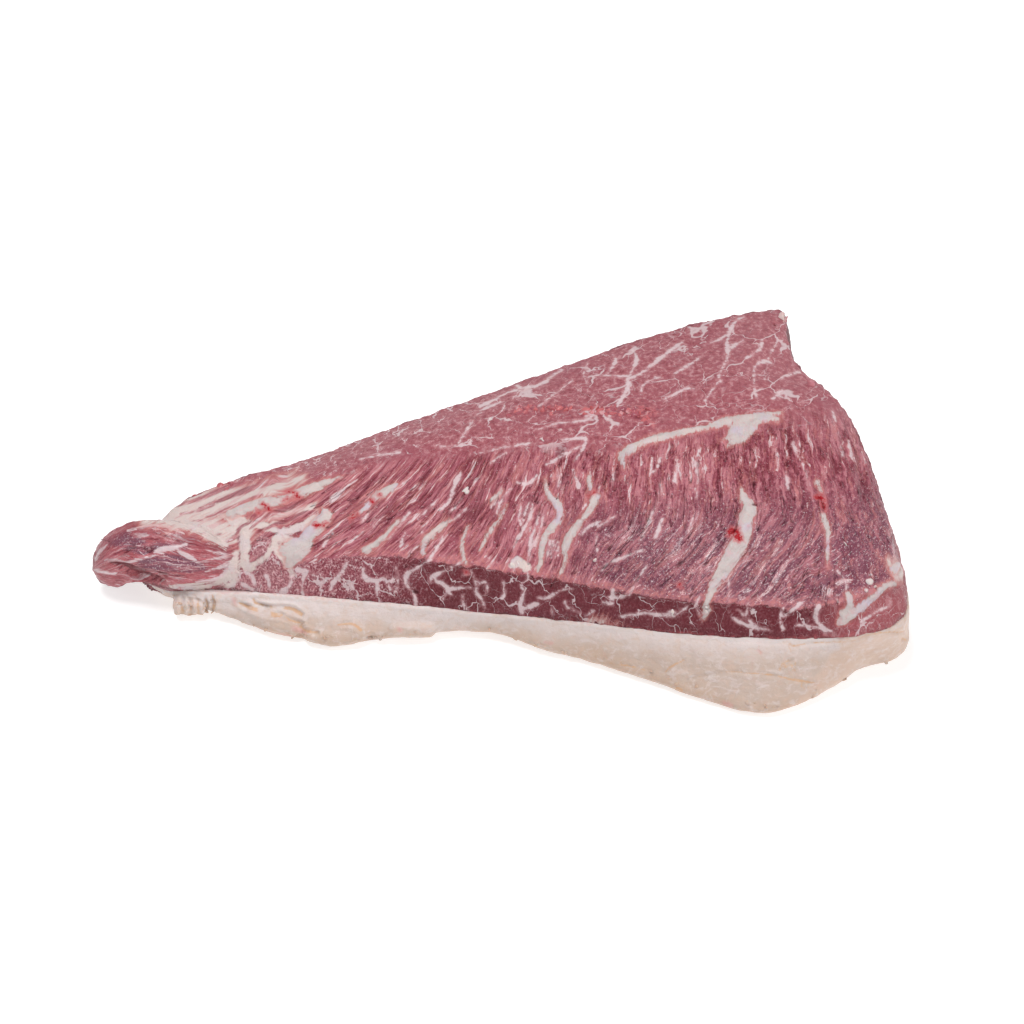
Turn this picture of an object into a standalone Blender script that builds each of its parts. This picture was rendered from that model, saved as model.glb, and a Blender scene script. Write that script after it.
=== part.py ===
"""Picanha: a raw beef rump cap, lying on its fat with the meat side up.

Two bodies. The muscle is a domed wedge with a rolled lobe of meat at its tip,
and the fat cap is the thick pale layer under all of it. Units are metres, +Z is up,
the tip points to -X, the wide end to +X and the long cut side to -Y. The origin is
on the table, under the middle of the piece.
"""

import math
from collections import namedtuple

import bmesh
import bpy
import numpy as np
from mathutils import Matrix, Vector, noise

MM = 0.001

SEAM_GAP = 0.3 * MM          # between the muscle and the fat

# Around the rim: how finely it is sampled, and the roundings along it.
RIM_SAMPLES = 96             # an even number, half along the front and half along the back
SHOULDER_ROUND = 4.5 * MM    # where the cut side turns over into the top
FAT_FOOT_ROUND = 4.5 * MM    # where the fat turns under

# Unevenness of the raw surfaces.
TOP_SWELL = 1.6 * MM
TOP_SWELL_SPAN = 34 * MM
SIDE_SWELL = 1.3 * MM
SIDE_SWELL_SPAN = 15 * MM
FAT_SWELL = 1.5 * MM
FAT_SWELL_SPAN = 12 * MM
FOOT_HOLLOW = 1.2 * MM       # hollows in the fat's underside

MEAT_COLOUR = (0.30, 0.075, 0.085, 1.0)
FAT_COLOUR = (0.80, 0.66, 0.56, 1.0)

# One landmark of the rim: x and y of the seam there, how high the fat's foot stands off the
# table, the heights of the seam and of the meat's shoulder, how far the foot reaches out
# past the seam, and how far the shoulder leans in from it. All in millimetres.
Landmark = namedtuple("Landmark", "x y foot seam shoulder reach lean")

PLAN_MIDDLE = (-0.85 * MM, 1.5 * MM)   # the middle of the piece in the landmarks' own x and y

# From the tip along the cut side to the middle of the wide end.
FRONT_RIM = (
    Landmark(-134, -30, 4, 9, 19, 0, 3),
    Landmark(-127, -40, 4, 9, 20, 0, 3),
    Landmark(-110, -45, 2, 11.5, 25, 0, 2),
    Landmark(-94, -47, 1, 12.5, 28, 6, 2),
    Landmark(-72, -50, 0, 13.5, 30, 11, 4),
    Landmark(-53, -52.5, 0, 13.5, 32, 11, 4),
    Landmark(-35, -55, 1, 13.5, 33.5, 6, 4),
    Landmark(-7, -58.5, 2, 13, 33.5, 0, 2),
    Landmark(11, -62, 1, 14, 33.5, 3, 2),
    Landmark(37, -69, 0, 17, 34, 5.5, 2),
    Landmark(65, -76.5, 0, 19.5, 35, 11, 1.5),
    Landmark(93, -81, 0, 22, 35.5, 18.5, 2),
    Landmark(110, -83.5, 0, 24, 36, 10, 3),
    Landmark(131, -82, 2, 25, 37, -4, 5),
    Landmark(145, -73, 3, 24, 39, 1, 7),
    Landmark(147.5, -53, 3, 23, 41, 1, 5),
    Landmark(144, -20, 2, 20, 44, 0, 4),
)

# From there round the far corner and along the back to the tip.
BACK_RIM = (
    Landmark(144, -20, 2, 20, 44, 0, 4),
    Landmark(138.5, 12, 2, 18, 46.5, 0, 4),
    Landmark(132, 34, 2, 17, 47, 0, 5),
    Landmark(121, 52, 2, 16, 45, 0, 4),
    Landmark(119, 77, 2, 15, 42, 0, 4),
    Landmark(117, 101.5, 3, 14, 39, -1, 4),
    Landmark(84, 95.5, 2, 14, 38.5, 0, 4),
    Landmark(43, 76, 1, 13, 38.5, 1, 4),
    Landmark(3, 54, 1, 12, 37, 1, 4),
    Landmark(-36, 33, 1, 12, 35.5, 1, 4),
    Landmark(-73, 12.5, 1, 12, 33, 1, 3),
    Landmark(-100, 0.5, 2, 12, 32.5, 0, 3),
    Landmark(-122, -11, 3, 10, 29.5, 0, 3),
    Landmark(-131, -21, 4, 9.5, 24.5, 0, 3),
    Landmark(-134, -30, 4, 9, 19, 0, 3),
)

# The ridge where the long slope meets the flatter back half, from the tip to the wide end:
# x, y and z of the ridge, and the height of the seam under it. All in millimetres.
RIDGE = (
    (-126, -30, 24, 9.5),
    (-96, -23, 35, 12),
    (-73, -18, 41, 13),
    (-36, -12, 48, 13),
    (0, -12, 53, 13),
    (34, -19, 57.5, 13),
    (70, -12, 60.5, 14),
    (96, -6, 60.5, 15),
    (110, -12, 57, 15),
)
RIDGE_SPREAD = 0.88          # share of the rim's length that the ridge is spread along
FRONT_CONVEXITY = 1.55       # above 1 the slope bulges and steepens towards the cut side
BACK_CONVEXITY = 1.3

# The rolled lobe of meat at the tip.
LOBE_CENTRE = (-122.5 * MM, -33.5 * MM, 19.5 * MM)
LOBE_HALF_SIZES = (28.5 * MM, 12 * MM, 13.5 * MM)
LOBE_TURN = math.radians(-9)
LOBE_DROOP = 8 * MM          # how far its free end hangs down
LOBE_BLUNTNESS = 0.35        # how much fuller the free end is than an almond's
LOBE_TUCK = 3 * MM           # how far its other end sinks towards the cut side
LOBE_CREASE = 0.24           # how deep the crease along its front is, as a share of its radius
LOBE_CREASE_WIDTH = 0.3      # half its width round the lobe, in radians
LOBE_CREASE_TURN = math.radians(195)   # where it lies round the lobe, from the back over the top
LOBE_CREASE_TWIST = 0.5      # how far round it moves along half the lobe, in radians
LOBE_UNDERSIDE = 12.4 * MM   # its flat underside, clear of the fat
LOBE_UNDERSIDE_RISE = 0.06   # how fast the underside climbs towards the wide end
LOBE_OVERHANG = -136 * MM    # past this the lobe hangs clear of the fat
LOBE_OVERHANG_SLOPE = 1.2    # how fast its underside drops there

# The torn scrap of fat that hangs under the tip.
SCRAP_CENTRE = (-114 * MM, -45 * MM, 5.6 * MM)
SCRAP_SIZE = (11 * MM, 7 * MM, 6 * MM)


def clear_scene():
    for obj in list(bpy.data.objects):
        bpy.data.objects.remove(obj)


def swell(point, span, seed):
    """Smooth noise from -1 to 1 that changes over about one span."""
    return noise.noise(Vector(point) / span + Vector((seed, seed * 0.7, -seed)))


def curve_through(points, samples):
    """Catmull-Rom curve through the points, read at even steps of its length in plan."""
    knots = np.array(points, float)
    padded = np.vstack([2 * knots[0] - knots[1], knots, 2 * knots[-1] - knots[-2]])
    fine = []
    for before, start, end, after in zip(padded, padded[1:], padded[2:], padded[3:]):
        for t in np.linspace(0, 1, 24, endpoint=False):
            fine.append(
                0.5 * (2 * start + (end - before) * t
                       + (2 * before - 5 * start + 4 * end - after) * t ** 2
                       + (3 * start - before - 3 * end + after) * t ** 3)
            )
    fine = np.array(fine + [knots[-1]])
    steps = np.linalg.norm(np.diff(fine[:, :2], axis=0), axis=1)
    travelled = np.concatenate([[0], np.cumsum(steps)])
    wanted = np.linspace(0, travelled[-1], samples)
    return np.stack([np.interp(wanted, travelled, column) for column in fine.T], axis=1)


def rim_samples():
    """The rim as RIM_SAMPLES landmarks in metres, from the tip along the front and back again."""
    half = RIM_SAMPLES // 2 + 1
    front = curve_through(FRONT_RIM, half)
    back = curve_through(BACK_RIM, half)
    rim = np.vstack([front[:-1], back[:-1]]) * MM
    rim[:, 2] = np.maximum(rim[:, 2], 0)
    return rim


def ridge_samples():
    """For each rim sample, the point of the ridge that its ribs run to, in metres.

    A front sample and the back sample opposite it share one point, so the ribs of both
    sides meet along the ridge.
    """
    half = RIM_SAMPLES // 2
    ridge = curve_through(RIDGE, 400) * MM
    share = np.minimum(np.arange(half + 1) / half / RIDGE_SPREAD, 1)
    # Past RIDGE_SPREAD the samples stay a little apart, so that no two ribs coincide.
    share = 0.94 * share + 0.06 * np.arange(half + 1) / half
    picked = ridge[np.round(share * (len(ridge) - 1)).astype(int)]
    return np.vstack([picked, picked[-2:0:-1]])


def outward_directions(rim):
    """Unit vectors in plan that point out of the piece at each rim sample."""
    along = np.roll(rim[:, :2], -1, axis=0) - np.roll(rim[:, :2], 1, axis=0)
    out = np.stack([along[:, 1], -along[:, 0]], axis=1)
    out /= np.linalg.norm(out, axis=1)[:, None]
    for _ in range(2):
        out = (np.roll(out, 1, axis=0) + 2 * out + np.roll(out, -1, axis=0)) / 4
        out /= np.linalg.norm(out, axis=1)[:, None]
    return out


def ring(plan, heights):
    return np.column_stack([plan, heights])


def seam_rings(rim, ridge, lift):
    """The surface between muscle and fat, from under the ridge out to the rim."""
    rings = []
    for share in (1, 0.75, 0.5, 0.28, 0.12, 0):
        plan = rim[:, :2] + (ridge[:, :2] - rim[:, :2]) * share
        blend = math.sin(share * math.pi / 2)
        heights = rim[:, 3] + (ridge[:, 3] - rim[:, 3]) * blend + lift
        rings.append(ring(plan, heights))
    return rings


def muscle_side_rings(rim, out):
    """The cut side of the muscle, from just above the seam to the top of its rounded shoulder."""
    rings = []
    lean, shoulder = rim[:, 6], rim[:, 4]
    seam = rim[:, 3] + SEAM_GAP / 2
    wall_top = shoulder - SHOULDER_ROUND
    for share in (0.3, 0.65, 1):
        heights = seam + (wall_top - seam) * share
        bumps = [SIDE_SWELL * swell((x, y, z), SIDE_SWELL_SPAN, 3.1)
                 for (x, y), z in zip(rim[:, :2], heights)]
        rings.append(ring(rim[:, :2] + out * (np.array(bumps) - lean * share)[:, None], heights))
    for angle in (35, 65):
        turned = math.radians(angle)
        inset = SHOULDER_ROUND * (1 - math.cos(turned))
        heights = wall_top + SHOULDER_ROUND * math.sin(turned)
        rings.append(ring(rim[:, :2] - out * (lean + inset)[:, None], heights))
    return rings


def muscle_top_rings(shoulder_ring, ridge):
    """The long front slope and the flatter back half, from the shoulder up to the ridge."""
    rings = []
    half = RIM_SAMPLES // 2
    position = np.arange(RIM_SAMPLES)
    # 1 along the front rim and 0 along the back rim, changing over at both ends.
    frontness = np.clip(0.5 + np.sin(2 * math.pi * position / (2 * half)) * 3, 0, 1)
    convexity = BACK_CONVEXITY + (FRONT_CONVEXITY - BACK_CONVEXITY) * frontness
    for share in (0.06, 0.14, 0.24, 0.35, 0.47, 0.59, 0.71, 0.82, 0.92, 1):
        plan = shoulder_ring[:, :2] + (ridge[:, :2] - shoulder_ring[:, :2]) * share
        rise = 1 - (1 - share) ** convexity
        heights = shoulder_ring[:, 2] + (ridge[:, 2] - shoulder_ring[:, 2]) * rise
        swells = [TOP_SWELL * swell((x, y, 0), TOP_SWELL_SPAN, 7.7) for x, y in plan]
        rings.append(ring(plan, heights + np.array(swells) * min(1, share * 4)))
    return rings


def fat_side_rings(rim, out):
    """The fat's slanting side, from just below the seam down to where it turns under."""
    rings = []
    seam = rim[:, 3] - SEAM_GAP / 2
    foot, reach = rim[:, 2], rim[:, 5]
    wall_foot = foot + FAT_FOOT_ROUND
    for share in (0.25, 0.5, 0.75, 1):
        heights = seam + (wall_foot - seam) * share
        bumps = [FAT_SWELL * share * swell((x, y, z), FAT_SWELL_SPAN, 5.3)
                 for (x, y), z in zip(rim[:, :2], heights)]
        rings.append(ring(rim[:, :2] + out * (reach * share + bumps)[:, None], heights))
    for angle in (35, 65, 90):
        turned = math.radians(angle)
        inset = FAT_FOOT_ROUND * (1 - math.cos(turned))
        heights = wall_foot - FAT_FOOT_ROUND * math.sin(turned)
        rings.append(ring(rim[:, :2] + out * (reach - inset)[:, None], heights))
    return rings


def fat_underside_rings(foot_ring, ridge):
    """The fat's outer face, lying on the table with shallow hollows in it."""
    rings = []
    for share in (0.1, 0.25, 0.45, 0.7, 1):
        plan = foot_ring[:, :2] + (ridge[:, :2] - foot_ring[:, :2]) * share
        settled = max(0, 1 - share / 0.2)
        hollows = [FOOT_HOLLOW * max(0, swell((x, y, 0), 25 * MM, 9.2)) for x, y in plan]
        rings.append(ring(plan, foot_ring[:, 2] * settled + np.array(hollows) * (1 - settled)))
    return rings


def material(name, colour, roughness):
    made = bpy.data.materials.new(name)
    made.use_nodes = True
    shader = made.node_tree.nodes["Principled BSDF"]
    shader.inputs["Base Color"].default_value = colour
    shader.inputs["Roughness"].default_value = roughness
    shader.inputs["Metallic"].default_value = 0
    return made


def object_from(name, shape, finish):
    """One closed, smooth-shaded object made from a bmesh, moved to the frame's origin."""
    bmesh.ops.translate(shape, verts=shape.verts, vec=(-PLAN_MIDDLE[0], -PLAN_MIDDLE[1], 0))
    bmesh.ops.recalc_face_normals(shape, faces=shape.faces)
    mesh = bpy.data.meshes.new(name)
    shape.to_mesh(mesh)
    shape.free()
    mesh.shade_smooth()
    mesh.materials.append(finish)
    obj = bpy.data.objects.new(name, mesh)
    bpy.context.scene.collection.objects.link(obj)
    return obj


def loft(rings):
    """A bmesh skin over closed rings, whose first and last lie flat on the ridge line.

    Each cell is split along the same diagonal, so that the two faces of the seam match.
    """
    shape = bmesh.new()
    rows = [[shape.verts.new(point) for point in points] for points in rings]
    count = len(rings[0])
    for lower, upper in zip(rows, rows[1:]):
        for here in range(count):
            there = (here + 1) % count
            shape.faces.new((lower[here], lower[there], upper[there]))
            shape.faces.new((lower[here], upper[there], upper[here]))
    bmesh.ops.remove_doubles(shape, verts=shape.verts, dist=0.01 * MM)
    bmesh.ops.dissolve_degenerate(shape, edges=shape.edges, dist=0.01 * MM)
    return shape


def lobe_shape():
    """The rolled lobe: an almond, flat below, with lengthwise folds and one deep crease."""
    shape = bmesh.new()
    bmesh.ops.create_uvsphere(shape, u_segments=36, v_segments=20, radius=1)
    bmesh.ops.rotate(shape, verts=shape.verts, matrix=Matrix.Rotation(math.pi / 2, 3, "Y"))
    turn = Matrix.Rotation(LOBE_TURN, 3, "Z")
    for vert in shape.verts:
        along, across, up = vert.co
        around = math.atan2(up, across) % (2 * math.pi)
        narrow = 1 - 0.22 * max(0, along) ** 2 + LOBE_BLUNTNESS * max(0, -along) ** 2
        fold = 1 + 0.035 * math.cos(5 * around + 2 * along)
        from_crease = around - LOBE_CREASE_TURN - LOBE_CREASE_TWIST * (along + 0.4)
        reach = max(0, 1 - ((along + 0.45) / 0.6) ** 2)
        fold -= LOBE_CREASE * reach * math.exp(-(from_crease / LOBE_CREASE_WIDTH) ** 2)
        local = Vector((along * LOBE_HALF_SIZES[0],
                        across * LOBE_HALF_SIZES[1] * narrow * fold,
                        up * LOBE_HALF_SIZES[2] * narrow * fold))
        local.z -= LOBE_DROOP * max(0, -along) ** 2 + LOBE_TUCK * max(0, along) ** 2
        vert.co = turn @ local + Vector(LOBE_CENTRE)
        floor = LOBE_UNDERSIDE + LOBE_UNDERSIDE_RISE * (vert.co.x - LOBE_CENTRE[0])
        floor -= LOBE_OVERHANG_SLOPE * max(0, LOBE_OVERHANG - vert.co.x)
        vert.co.z = max(vert.co.z, floor)
    return shape


def scrap_shape():
    """The torn scrap: a blunt block whose lower edge ends in uneven teeth."""
    shape = bmesh.new()
    bmesh.ops.create_cube(shape, size=1)
    bmesh.ops.subdivide_edges(shape, edges=shape.edges, cuts=3, use_grid_fill=True)
    for vert in shape.verts:
        x, y, z = vert.co
        tooth = -0.4 * abs(math.cos(x * 2 * math.pi)) if z < -0.4 else 0
        ragged = 0.06 * swell((x, y, z), 0.35, 2.4)
        vert.co = Vector(((x + ragged) * SCRAP_SIZE[0],
                          (y * (1 + 0.6 * z) + ragged) * SCRAP_SIZE[1],
                          (z + tooth) * SCRAP_SIZE[2])) + Vector(SCRAP_CENTRE)
        vert.co.z = max(vert.co.z, 0.4 * MM)
    return shape


def fuse(body, addition):
    """Joins the addition to the body, and keeps it only as a hidden helper."""
    addition.hide_render = True
    addition.display_type = "WIRE"
    union = body.modifiers.new("join " + addition.name, "BOOLEAN")
    union.operation = "UNION"
    union.solver = "EXACT"
    union.object = addition


def build_muscle(rim, ridge, out):
    finish = material("raw beef", MEAT_COLOUR, 0.45)
    seam = seam_rings(rim, ridge, SEAM_GAP / 2)
    side = muscle_side_rings(rim, out)
    top = muscle_top_rings(side[-1], ridge)
    muscle = object_from("meat", loft(seam + side + top), finish)
    lobe = object_from("tip_lobe_helper", lobe_shape(), finish)
    fuse(muscle, lobe)


def build_fat_cap(rim, ridge, out):
    finish = material("beef fat", FAT_COLOUR, 0.5)
    seam = seam_rings(rim, ridge, -SEAM_GAP / 2)
    side = fat_side_rings(rim, out)
    under = fat_underside_rings(side[-1], ridge)
    fat = object_from("fat_cap", loft(seam + side + under), finish)
    scrap = object_from("fat_scrap_helper", scrap_shape(), finish)
    fuse(fat, scrap)


def main():
    clear_scene()
    rim = rim_samples()
    ridge = ridge_samples()
    out = outward_directions(rim)
    build_muscle(rim, ridge, out)
    build_fat_cap(rim, ridge, out)


main()
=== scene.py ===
"""Looks of a raw picanha: its grained meat, its fat cap, and the torn bits on both, on a plain floor."""
import math

import bmesh
import bpy
import numpy as np
from bpy.props import FloatProperty, FloatVectorProperty, IntProperty, PointerProperty
from mathutils import Matrix, Vector, noise
from mathutils.bvhtree import BVHTree


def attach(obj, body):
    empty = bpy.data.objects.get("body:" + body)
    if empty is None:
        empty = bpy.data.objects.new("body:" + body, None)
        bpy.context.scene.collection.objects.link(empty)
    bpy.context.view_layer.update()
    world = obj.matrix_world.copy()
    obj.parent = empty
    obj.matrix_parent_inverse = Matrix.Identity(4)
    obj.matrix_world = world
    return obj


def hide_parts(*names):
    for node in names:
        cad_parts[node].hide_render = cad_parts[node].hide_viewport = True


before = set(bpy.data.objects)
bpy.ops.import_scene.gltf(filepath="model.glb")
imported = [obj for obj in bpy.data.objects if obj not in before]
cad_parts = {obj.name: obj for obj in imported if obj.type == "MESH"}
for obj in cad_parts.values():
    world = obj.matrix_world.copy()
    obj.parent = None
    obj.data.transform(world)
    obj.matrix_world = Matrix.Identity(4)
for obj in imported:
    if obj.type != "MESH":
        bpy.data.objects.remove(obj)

bl_info = {
    "name": "Raw Picanha",
    "version": (1, 0, 0),
    "blender": (4, 5, 0),
    "location": "View3D > Sidebar > Picanha",
    "description": "Dresses the solids of a raw rump cap as grained meat and creamy fat",
    "category": "Object",
}

MM = 0.001
BODY = "root"

# The camera, in the cut's own frame.
CAMERA_ELEVATION = math.radians(40)
CAMERA_DISTANCE = 0.90
CAMERA_AIM = Vector((0.00585, -0.0170, 0.025))
LENS = 85
SENSOR = 36
PICTURE = 1024                     # pixels, both ways
PIXELS_PER_MM = 2.69               # at the middle of the cut

# How wide some marks turn out, as shares of their drawn widths.
VEIN_WIDTH = 0.52
WEB_WIDTH = 0.5
SLIT_WIDTH = 1.8

# How much farther each mark counts as being on the sides that the camera can't see, in millimetres.
UNSEEN = 12

# Hidden faces are thinned: how near the other node they lie, in millimetres, and the share that stays.
HIDDEN_DEPTH = 1.5
HIDDEN_SHARE = 0.06

# Length, width, sink and wiggle of each kind of torn bit, in millimetres.
BIT_SIZES = {
    "torn_shreds": (4.2, 2.2, 0.8, 2.0),
    "red_lumps": (3.0, 2.0, 0.3, 1.6),
    "crumbs": (2.4, 1.5, 0.0, 2.6),
    "fat_chips": (2.6, 1.2, 0.35, 1.6),
    "corner_wisp": (9, 2.6, 0.0, 3),
}
BIT_FLATNESS = 0.6
FLOOR_SIZE = 8.0                   # metres
FLOOR_GAP = 0.4 * MM               # so that the fat's underside doesn't flicker against the floor
STRAND_SINK = 0.12 * MM
STRAND_WIGGLE = 0.7 * MM
STRAND_FLATNESS = 0.3
WISP_RUN = (0.45, 0.3, 1)

# The lobe at the tip, as the solids have it.
LOBE_CENTRE = np.array((-121.65, -35.0, 19.5)) * MM
LOBE_HALF_SIZES = np.array((28.5, 12, 13.5)) * MM
LOBE_TURN = math.radians(-9)
LOBE_DROOP = 8 * MM
LOBE_NECK = (-112 * MM, -104 * MM)  # along x, where the lobe runs into the wedge

# Heights above the floor: the fat's hidden underside lies below one, and its foot's tint, partly painted
# shade, ends at the other.
UNDERSIDE_TOP = 1.6 * MM
FOOT_TOP = 16 * MM

# Lines of the meat in the picture, as (x, y) pixels from left to right.
RIDGE_LINE = ((90, 540), (160, 512), (235, 497), (300, 480), (400, 459), (450, 455), (500, 450),
              (560, 444), (620, 448), (700, 430), (780, 417), (830, 412), (915, 408))
SHOULDER_LINE = ((90, 590), (235, 574), (250, 566), (262, 556), (272, 546), (279, 556), (287, 566),
                 (300, 563), (345, 556), (400, 556), (440, 562), (480, 567), (520, 574), (560, 580),
                 (620, 592), (680, 600), (760, 606), (800, 609), (850, 602), (890, 585), (915, 565))

# Stretches of the picture over which a look comes or goes, in pixels from the left.
BEND_COMES = (540, 640)
BEND_GOES = (790, 860)
KINKS_COME = (420, 520)
SHORT_FIBRES_COME = (420, 600)
TIP_THREADS_GO = (380, 660)
RIDGE_THREADS_COME = (420, 480)
COARSE_BUNDLES_COME = (480, 620)
LOOSE_FIBRES_COME = (430, 620)
WET_COMES = (520, 640)
RIM_BAND_COMES = (340, 420)
LIP_COMES = (380, 470)
LEFT_END_GOES = (265, 330)
LUMPS_GO = (300, 450)
LUMPS_COME_BACK = (820, 880)
RED_END_COMES = (800, 860)
PINKER_COMES = (690, 770)
PINKER_GOES_DOWN = (350, 420)      # from the top
UNDERSIDE_GOES = (250, 290)
DEEP_CRACKS_GO = (300, 380)
HIGH_RIM_GOES = (240, 280)

# The middle of the plateau's marbling in the picture, and how far the marbling is turned.
NET_CENTRE = (560, 400)
NET_TURN = math.radians(17)

# How far a fibre moves sideways for each pixel down the slope, by its place across the picture.
FIBRE_SLANT = ((90, -3.2), (160, -3.2), (240, -2.8), (300, -2.2), (340, -1.6), (380, -1.15), (430, -0.85),
               (490, -0.5), (560, -0.3), (640, -0.12), (700, 0), (780, 0.1), (840, 0.2), (915, 0.35))

# Width of the marbling's cells in pixels, by place across the picture.
PLATEAU_CELLS = ((90, 8), (300, 12), (450, 22), (560, 38), (700, 55), (915, 55))
CUT_CELLS = ((90, 14), (300, 19), (400, 23), (500, 26), (600, 28), (720, 34), (830, 24), (915, 18))

# Marks on the meat, each a run of (x, y, half width) in pixels of the picture.
RIDGE_CREAM = (
    ((624, 468, 1), (622, 459, 3), (625, 452, 4), (643, 443, 3.5), (664, 436.5, 3.5), (684, 432, 3),
     (704, 428, 2.5), (721, 423, 4), (741, 419, 4), (766, 415, 2.5), (781, 413, 1.5)),
    ((722, 440, 1), (731, 436, 5), (740, 428, 9), (752, 421, 7), (766, 418, 4), (777, 420, 3)),
    ((728, 444, 2), (737, 440, 5), (745, 434, 5), (755, 426, 3)),
)
SLOPE_CREAM = (
    ((230, 514, 4), (251, 507, 5), (268, 503, 5.5), (283, 500, 3.5), (293, 494, 2.5), (304, 491, 4.5),
     (318, 486, 4), (329, 481, 2.5), (342, 476, 1)),
    ((350, 517, 1), (365, 509, 2.5), (375, 497, 3.5), (386, 491, 4), (397, 485, 1.5)),
    ((322, 508, 1), (326, 517, 6), (317, 526, 7), (309, 536, 7), (302, 547, 8), (293, 558, 7),
     (288, 566, 2)),
    ((279, 551, 1), (289, 549, 8), (298, 545, 7)),
    ((365, 551, 3.5), (377, 543, 3), (386, 535, 2.5), (398, 521, 1.2)),
    ((423, 553, 2.5), (425, 541, 3.5), (436, 531, 2.5), (451, 520, 1.2)),
    ((465, 563, 2), (463, 550, 2.5), (463, 539, 2), (468, 525, 1)),
    ((480, 551, 1.5), (489, 533, 2.2), (497, 523, 1.8), (502, 514, 1.6), (506, 504, 0.8)),
    ((491, 501, 2), (501, 491, 1.5)),
    ((545, 479, 0.8), (548, 493, 3), (557, 504, 4.5), (560, 517, 3.5), (549, 531, 3.5), (542, 544, 3),
     (541, 559, 2), (538, 571, 0.8)),
    ((589, 477, 2), (590, 489, 1.8)),
    ((595, 497, 4.5), (588, 513, 3), (574, 529, 3), (566, 546, 4), (565, 561, 2), (559, 577, 0.8)),
    ((741, 488, 0.5), (745, 499, 4.5), (750, 508, 7), (746, 519, 7), (744, 533, 7.5), (737, 546, 9),
     (728, 563, 8), (718, 578, 6), (711, 592, 3.5), (705, 607, 2)),
    ((707, 610, 4), (704, 618, 2)),
    ((817, 481, 3), (822, 492, 1)),
    ((823, 515, 2.5), (828, 533, 1.8), (827, 549, 1), (828, 567, 0.8)),
    ((893, 570, 4), (900, 562, 3)),
    ((895, 584, 2), (885, 586, 3), (876, 596, 3.5), (862, 607, 4), (850, 616, 4), (841, 622, 3.5)),
    ((848, 594, 2.5), (850, 605, 4), (843, 615, 4)),
)
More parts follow.
